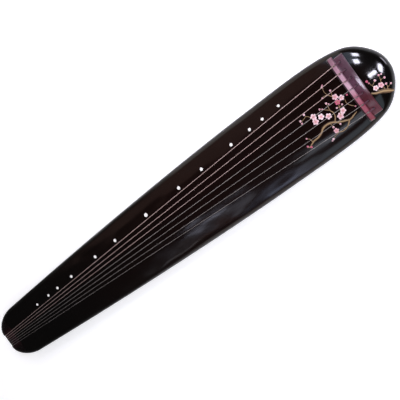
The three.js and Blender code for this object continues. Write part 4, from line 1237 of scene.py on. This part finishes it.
markers = {
    "shares": (1 / 8, 1 / 6, 1 / 5, 1 / 4, 1 / 3, 2 / 5, 1 / 2, 3 / 5, 2 / 3, 3 / 4, 4 / 5, 5 / 6, 7 / 8),
    "radii": (0.66, 0.7, 0.74, 0.78, 0.82, 0.86, 1, 0.86, 0.82, 0.78, 0.74, 0.7, 0.66),
    "largest": 0.0049,  # radius of the middle disc
    "offset": 0.0103,  # outside the first string
    "proud": 0.0003,
}
markerDisc = ((0.3, 1), (0.7, 0.97), (0.9, 0.85), (0.97, 0.5), (1, -2 / 3), (1, -10 / 3))  # (radius, height)
spots = []
for share, radius in zip(markers["shares"], markers["radii"]):
    x = strings["bridgeX"] - (strings["bridgeX"] - strings["nutX"]) * share
    y = strings["bridgeHalf"] + (strings["nutHalf"] - strings["bridgeHalf"]) * share + markers["offset"]
    spots.append((x, y, markers["largest"] * radius, 0, share))
disc = roundPattern("disc", [(radius, markers["proud"] * height, 0) for radius, height in markerDisc], 40,
                    lambda turn: (1, 0))
markerDiscs = scattered("pearlMarkers", disc, spots, pearl)
dress(markerDiscs, pearl, [f"marker_{number}" for number in range(1, 14)])
remove(disc)
print("markers")


paintLook = {  # (inner colour, outer colour, from where to where they blend)
    "palePetal": ("#d77f98", "#fbe3e6", 0.12, 0.75), "deepPetal": ("#8f1f45", "#df5f83"),
    "petalGrain": (0.0012, 0.0012, 0.0012), "petalRelief": 0.0001,
    "bark": ("#c9a776", "#5a4028", 0.35, 1.0), "brush": (0.004, 0.002, 0.002), "brushRelief": 0.0002,
    "stamen": ("#e8c35e", "#f6e6a8"), "stamenGrain": (0.001, 0.001, 0.001),
}


def makePetalPaint():
    # opaque flower paint: deep rose at the heart, paler to the edge; each blossom has its own tint
    finish, tree, shader = newFinish("petalPaint", Roughness=0.4, IOR=1.45)
    bloom, tint = (addNode(tree, "ShaderNodeAttribute", attribute_name=label).outputs["Fac"]
                   for label in ("bloom", "tint"))
    pale, deep = (blend(tree, bloom, *paintLook[kind]) for kind in ("palePetal", "deepPetal"))
    both = addNode(tree, "ShaderNodeMix", {0: tint, 6: pale, 7: deep}, data_type="RGBA")
    bump = {"Height": clouds(tree, paintLook["petalGrain"], 2.0), "Distance": paintLook["petalRelief"],
            "Strength": 0.5}
    feed(shader, {"Base Color": both.outputs[2], "Normal": addNode(tree, "ShaderNodeBump", bump)})
    return finish


def makeBarkPaint():
    # gold-brown paint brushed on in strokes: paler down the middle, darker at both edges
    finish, tree, shader = newFinish("barkPaint", Roughness=0.45, IOR=1.45)
    brush = clouds(tree, paintLook["brush"], 4.0)
    known = {"side": addNode(tree, "ShaderNodeAttribute", attribute_name="side").outputs["Fac"],
             "brush": brush.outputs[0]}
    follow(tree, known, [("edge", "ABSOLUTE", "side"), ("mixed", "MULTIPLY_ADD", "brush", 0.9, "edge")])
    bump = {"Height": brush, "Distance": paintLook["brushRelief"], "Strength": 0.6}
    feed(shader, {"Base Color": blend(tree, known["mixed"], *paintLook["bark"]),
                  "Normal": addNode(tree, "ShaderNodeBump", bump)})
    return finish


def makeStamenPaint():
    # yellow ochre dots with a soft gloss
    finish, tree, shader = newFinish("stamenPaint", Roughness=0.4)
    grain = clouds(tree, paintLook["stamenGrain"], 2.0)
    feed(shader, {"Base Color": blend(tree, grain, *paintLook["stamen"])})
    return finish


# a traditional plum branch, drawn with strokes and five-petalled blossoms of its own.
# Places are millimetres from the bridge towards the tail, and across towards the markers
plum = {
    "strokes": [  # (from the bridge, across, half width) along each branch
        [(131, -47, 1.6), (120, -43, 2.3), (108, -42, 2.4), (97, -38, 2.6), (88, -32, 2.8), (76, -30.5, 3.0),
         (64, -34, 2.8), (53, -41, 2.6), (42, -46, 2.4), (31, -50, 2.2), (20, -47.5, 1.8), (11, -45, 1.0)],
        [(33, -50, 2.0), (40, -56.5, 1.8), (48, -60.5, 1.6), (58, -62, 1.1), (66, -59, 0.6)],
        [(129, -46, 1.5), (136, -48.5, 1.3), (140, -46, 0.6)],
        [(124, -44, 1.3), (124, -36, 1.0), (130, -30, 0.6)],
        [(60, -36, 1.6), (53, -27, 1.5), (51, -18, 1.3), (54, -9, 1.1), (52, 1, 0.9), (53, 7, 0.5)],
        [(54, -9, 1.0), (61, -3, 0.8), (69, 4, 0.5)],
        [(44, -33, 1.1), (36, -22, 1.0), (33, -13, 0.9), (29, 0, 0.9), (34, 12, 0.9), (40, 22, 0.8),
         (41, 32, 0.7), (38, 40, 0.5)],
        [(41, 20, 0.7), (47, 22, 0.6), (52, 21, 0.4)],
        [(34, 12, 0.7), (30, 18, 0.6), (29, 24, 0.4)],
        [(15, -8, 0.6), (17, -17, 0.8), (14, -25, 0.8), (7, -33, 0.7)],
        [(92, -10, 0.8), (97, 4, 0.8), (103, 11, 0.7), (104, 16, 0.5)],
        [(103, 11, 0.7), (111, 8, 0.7), (119, 6, 0.5)],
        [(27, -17, 0.6), (33, -15, 0.7), (39, -15, 0.5)],
        [(70, -34, 0.9), (69, -42, 0.6)],
        [(56, -40, 0.8), (54, -46, 0.5)],
        [(58, -62, 0.9), (66, -59, 0.8), (76, -61, 0.6), (84, -64, 0.5)],
        [(-35, -32, 2.2), (-42, -37, 2.8), (-50, -40, 3.6), (-57, -42.5, 4.6), (-64, -47, 4.8),
         (-70, -51.5, 3.8), (-74.5, -54.5, 2.2)],
        [(-54, -40, 1.0), (-50, -34, 0.8), (-46, -22, 0.7), (-43, -10, 0.5)],
        [(-46, -20, 0.6), (-52, -17, 0.6), (-56, -15, 0.4)],
        [(-62, -40, 0.9), (-63, -28, 0.8), (-66, -19, 0.7), (-68, -11, 0.5)],
        [(-65, -21, 0.6), (-70, -20, 0.5), (-73, -21, 0.4)],
        [(-66, -46, 0.9), (-69, -39, 0.7), (-70, -34, 0.5)],
        [(-69, -41, 0.6), (-73, -40, 0.5), (-77, -39, 0.4)],
    ],
    "blossoms": [  # (from the bridge, across, radius, tint from pale to deep rose)
        (90.6, 0, 7.2, 0.12), (92.6, -11.4, 7.2, 0.2), (77, -9.4, 7, 0), (63.6, -18, 7, 0.1),
        (29, 7, 6.8, 0.3), (19, -2, 6.4, 0.15), (31, -5, 6.2, 0.95), (32.4, -26, 7, 0.15),
        (43, -32.4, 7.6, 0.25), (68.6, -53, 6, 0.45), (-48.6, -28.4, 6, 0.02), (-60.4, -29.6, 6.2, 0.35),
    ],
    "buds": [
        (40, 40, 2.6, 0.3), (52, 21, 2, 0.4), (29, 24.5, 2.4, 0.3), (37, 43, 1.8, 0.6), (119, 9, 2.8, 0.2),
        (119, 3, 2.4, 0.4), (104, 16, 2.8, 0.1), (70, 5.5, 2.6, 0.4), (66, 2, 2, 0.5), (52.4, 7, 2.8, 0.2),
        (48, 3, 2, 0.4), (7, -4, 2.4, 0.9), (69.6, -43.5, 2.8, 0.3), (53.6, -46.5, 2.4, 0.2),
        (85, -64, 2.8, 0), (88, -66, 2, 0.2), (138, -45, 2.8, 0.8), (133, -50, 3, 0.9),
        (130, -29.5, 2.2, 0.5), (26, -14, 2.2, 0.3), (39, -14, 2.2, 0.2),
        (6, -34, 2, 0.7), (-42, -6.5, 3, 0.95), (-56, -15, 3, 0.2), (-74, -21, 2.6, 0.4),
        (-67.5, -10, 2.4, 0.5), (-73, -11, 2.2, 0.2), (-70, -33, 2.6, 0.4), (-78, -39, 2.2, 0.3),
        (-43, -12, 2, 0.7),
    ],
    "thick": 0.0003,
    "turnSeed": 11,
    # rings of each pattern: (share of the radius, height, relief), both in thicknesses of paint
    "blossom": [(0.08, 1, 0), (0.2, 0.8, 0.2), (0.4, 0.6, 0.5), (0.65, 0.6, 0.6), (0.85, 0.6, 0.5),
                (0.96, 0.4, 0.3), (1, -1 / 3, 0), (0.98, -1, 0)],
    "bud": [(0.15, 2.4, 0), (0.5, 2.1, 0), (0.8, 1.3, 0), (0.96, 0.4, 0), (1, -1 / 3, 0), (0.98, -1, 0)],
    "stamenDot": [(1, 0.5), (0.8, 1.9), (0.3, 2.4)],
    "stamens": 10, "stamenReach": (0.34, 0.41), "stamenRadius": 0.055, "heartRadius": 0.1,
}


def fromBridge(back, sideways):
    # millimetres on the plan of the branch to metres on the board
    return strings["bridgeX"] - back / 1000, sideways / 1000


def petalOutline(turn):
    # five petals, with a notch and little relief between them
    lobe = abs(math.cos(2.5 * turn))
    return 0.56 + 0.44 * lobe ** 0.5, lobe


def budOutline(turn):
    # nearly round, and drawn out at its tip
    return 0.86 + 0.22 * math.cos(turn) ** 3, abs(math.cos(turn))


petalPaint, barkPaint, stamenPaint = makePetalPaint(), makeBarkPaint(), makeStamenPaint()
thick = plum["thick"]
paintRings = {name: [(share, thick * height, thick * relief) for share, height, relief in plum[name]]
              for name in ("blossom", "bud")}
blossom = roundPattern("blossom", paintRings["blossom"], 60, petalOutline)
bud = roundPattern("bud", paintRings["bud"], 28, budOutline)
dots = [(0, 0, plum["heartRadius"])]
for index in range(plum["stamens"]):
    reach = plum["stamenReach"][index % 2]
    dots.append((*ringOfPoints(reach, plum["stamens"])[index], plum["stamenRadius"]))
stamenPoints, stamenFaces = [], []
for x, y, radius in dots:
    dot = ringPiece("dot", [[(*point, thick * height) for point in ringOfPoints(radius * share, 10, x, y)]
                            for share, height in plum["stamenDot"]])
    base = len(stamenPoints)
    stamenPoints += [point.co[:] for point in dot.data.vertices]
    stamenFaces += [tuple(base + corner for corner in face.vertices) for face in dot.data.polygons]
    remove(dot)
stamen = newPiece("stamen", stamenPoints, stamenFaces)

draw = random.Random(plum["turnSeed"])
blossomSpots, budSpots = ([(*fromBridge(a, b), radius / 1000, draw.uniform(0, 6.28), tint)
                           for a, b, radius, tint in plum[kind]] for kind in ("blossoms", "buds"))
painted = [
    (scattered("plumPetals", blossom, blossomSpots, petalPaint), petalPaint),
    (scattered("plumStamens", stamen, blossomSpots, stamenPaint), stamenPaint),
    (scattered("plumBuds", bud, budSpots, petalPaint), petalPaint),
]
linePoints, lineEdges, widths = [], [], []
for stroke in plum["strokes"]:
    lineEdges += [(len(linePoints) + i, len(linePoints) + i + 1) for i in range(len(stroke) - 1)]
    linePoints += [(*fromBridge(a, b), 0) for a, b, _ in stroke]
    widths += [width / 1000 for *_, width in stroke]
branches = newPiece("plumBranches", linePoints, edges=lineEdges)
mark(branches, "thick", widths)
grow(branches, strokeTree, {"Board": topBoard, "Height": thick, "Finish": barkPaint})
painted.append((shade(branches, 60), barkPaint))
for piece, finish in painted:
    piece.data.materials.clear()
    piece.data.materials.append(finish)
    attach(piece, "root")
remove(blossom, bud, stamen)
print("plum branch")


# studio: a pale floor that turns up into a low wall, soft side panels and small strong lamps
studio = {
    "floorRadius": 3.6, "bend": 0.5, "bendSteps": 12, "wallHeight": 0.8, "steps": 96,
    "floorColour": "#f7f7f7", "cameraGlow": 0.42,
    "zenith": (0.6, 0.03), "horizon": (0.1, 0.3),  # (how high it lies, how bright)
    "distance": 1.7, "lampTint": "#f0eeff",
    "highlights": [  # (from the bridge, across, elevation, azimuth, width, height, radiance, turn)
        (-57, 53, 56.9, 64.1, 0.21, 0.19, 42, 0),
        (-50, 40, 69.8, 70.8, 0.19, 0.22, 42, 0),
        (-60, 0, 78.2, 0, 0.026, 0.42, 120, 0),
        (-79, 1, 62.4, 0, 0.15, 0.27, 45, 35),
        (-90, 2, 15, 8, 0.5, 0.4, 10, 0),
    ],
    "panelDistance": 1.8, "panelHeight": 0.06,
    "panels": [  # (side, from x, to x, low and high elevation, turn in degrees, radiance, tint)
        (-1, 0.42, 0.80, 40, 69, 0, 1.3, "#d4e6f6"),
        (-1, 0.05, 0.42, 40, 58, 0, 1.4, "#d4e6f6"),
        (-1, 0.05, 0.42, 64, 70, 0, 2.7, "#dce6f6"),
        (-1, -0.25, 0.05, 40, 56, 0, 1.4, "#e2e4ff"),
        (-1, -0.80, 0.80, 8, 30, 0, 0.9, "#fff4ea"),
        (-1, -0.57, -0.44, 58.5, 65, 0, 2.9, "#e8ecff"),
        (-1, -0.27, -0.07, 47.5, 54.5, 0, 3.4, "#c4d8ff"),
        (-1, -0.74, -0.56, 68, 72, -34, 8.5, "#e4e8ff"),
        (-1, -0.91, -0.80, 63, 66, -20, 1.8, "#f0f0ff"),
        (-1, -1.06, -0.80, 54.5, 57.5, -28, 2.6, "#f2f0f8"),
        (-1, -0.46, -0.41, 51, 54, 0, 3.5, "#d8e4ff"),
        (-1, -0.80, -0.60, 52, 60, 0, 0.4, "#ff9c70"),
        (1, -0.75, 0.80, 6, 44, 0, 1.05, "#fff8f2"),
        (1, 0.42, 0.95, 46, 70, 0, 1.5, "#cfe2ff"),
        (1, -1.45, 0.42, 47, 65, 0, 0.3, "#ffcabc"),
    ],
    "fill": {  # overhead, and not seen in the gloss
        "place": (0.35, 0, 2.1), "target": (0.2, 0, 0.06), "width": 2.2, "height": 2.2, "radiance": 1.2,
    },
}


def studioFinish():
    # matt paper: pale grey-white; it looks white to the camera and in gloss, and keeps the shadow
    finish, tree, shader = newFinish("studioPaper")
    tree.nodes.remove(shader)
    path = addNode(tree, "ShaderNodeLightPath").outputs
    known = {kind: path[f"Is {kind} Ray"] for kind in ("Camera", "Glossy", "Transmission")}
    follow(tree, known, [
        ("seen", "MAXIMUM", "Camera", "Glossy"),
        ("clear", "MAXIMUM", "seen", "Transmission"),
        ("glow", "MULTIPLY", "clear", studio["cameraGlow"]),
    ])
    paper = addNode(tree, "ShaderNodeBsdfDiffuse", {0: hexLinear(studio["floorColour"])})
    glow = addNode(tree, "ShaderNodeEmission", {0: hexLinear("#ffffff"), "Strength": known["glow"]})
    both = addNode(tree, "ShaderNodeAddShader", {0: paper, 1: glow})
    feed(findNode(tree, "OUTPUT_MATERIAL"), {"Surface": both})
    return finish


profile = [(0.001, 0), (studio["floorRadius"] * 0.5, 0), (studio["floorRadius"], 0)]
for step in range(1, studio["bendSteps"] + 1):
    turn = math.pi / 2 * step / studio["bendSteps"]
    out, height = studio["bend"] * math.sin(turn), studio["bend"] * (1 - math.cos(turn))
    profile.append((studio["floorRadius"] + out, height))
profile.append((studio["floorRadius"] + studio["bend"], studio["wallHeight"]))
rings = [[(x, y, height) for x, y in ringOfPoints(radius, studio["steps"])] for radius, height in profile]
floor = shade(ringPiece("studioFloor", rings, capped=False), 60)
floor.data.materials.append(studioFinish())


def direction(elevation, azimuth):
    high, turn = math.radians(elevation), math.radians(azimuth)
    return Vector((math.cos(high) * math.cos(turn), math.cos(high) * math.sin(turn), math.sin(high)))


def addLamp(name, place, target, width, height, radiance, tint="#ffffff", turn=0):
    lamp = bpy.data.lights.new(name, "AREA")
    lamp.shape, lamp.size, lamp.size_y = "RECTANGLE", width, height
    lamp.energy = radiance * width * height * math.pi
    lamp.color = hexLinear(tint)[:3]
    holder = bpy.data.objects.new(name, lamp)
    holder.location = place
    holder.rotation_mode = "QUATERNION"
    facing = (Vector(target) - Vector(place)).to_track_quat("-Z", "Y")
    holder.rotation_quaternion = facing @ Quaternion((0, 0, 1), math.radians(turn))
    holder.visible_camera = False
    scene.collection.objects.link(holder)
    return holder


for index, (a, b, elevation, azimuth, width, height, radiance, turn) in enumerate(studio["highlights"]):
    x, y = fromBridge(a, b)
    spot = Vector((x, y, surfaceHeight(x, y)))
    place = spot + direction(elevation, azimuth) * studio["distance"]
    addLamp(f"lamp{index + 1}", place, spot, width, height, radiance, studio["lampTint"], turn)
for index, (side, start, end, low, high, turn, radiance, tint) in enumerate(studio["panels"]):
    target = Vector(((start + end) / 2, 0, studio["panelHeight"]))
    height = 2 * studio["panelDistance"] * math.tan(math.radians(high - low) / 2)
    place = target + direction((low + high) / 2, 90 * side) * studio["panelDistance"]
    addLamp(f"panel{index + 1}", place, target, end - start, height, radiance, tint, turn)
fillLamp = addLamp("fillPanel", **studio["fill"])
fillLamp.visible_glossy = False

world = bpy.data.worlds.new("studio")
scene.world = world
world.use_nodes = True
sky = world.node_tree
way = addNode(sky, "ShaderNodeTexCoord").outputs["Generated"]
height = addNode(sky, "ShaderNodeSeparateXYZ", {0: way}).outputs[2]
(low, dim), (high, dark) = studio["horizon"], studio["zenith"]
fade = addNode(sky, "ShaderNodeMapRange", {0: height, 1: low, 2: high, 3: dim, 4: dark})
feed(findNode(sky, "BACKGROUND"), {"Color": hexLinear("#ffffff"), "Strength": fade})
print("studio lit")
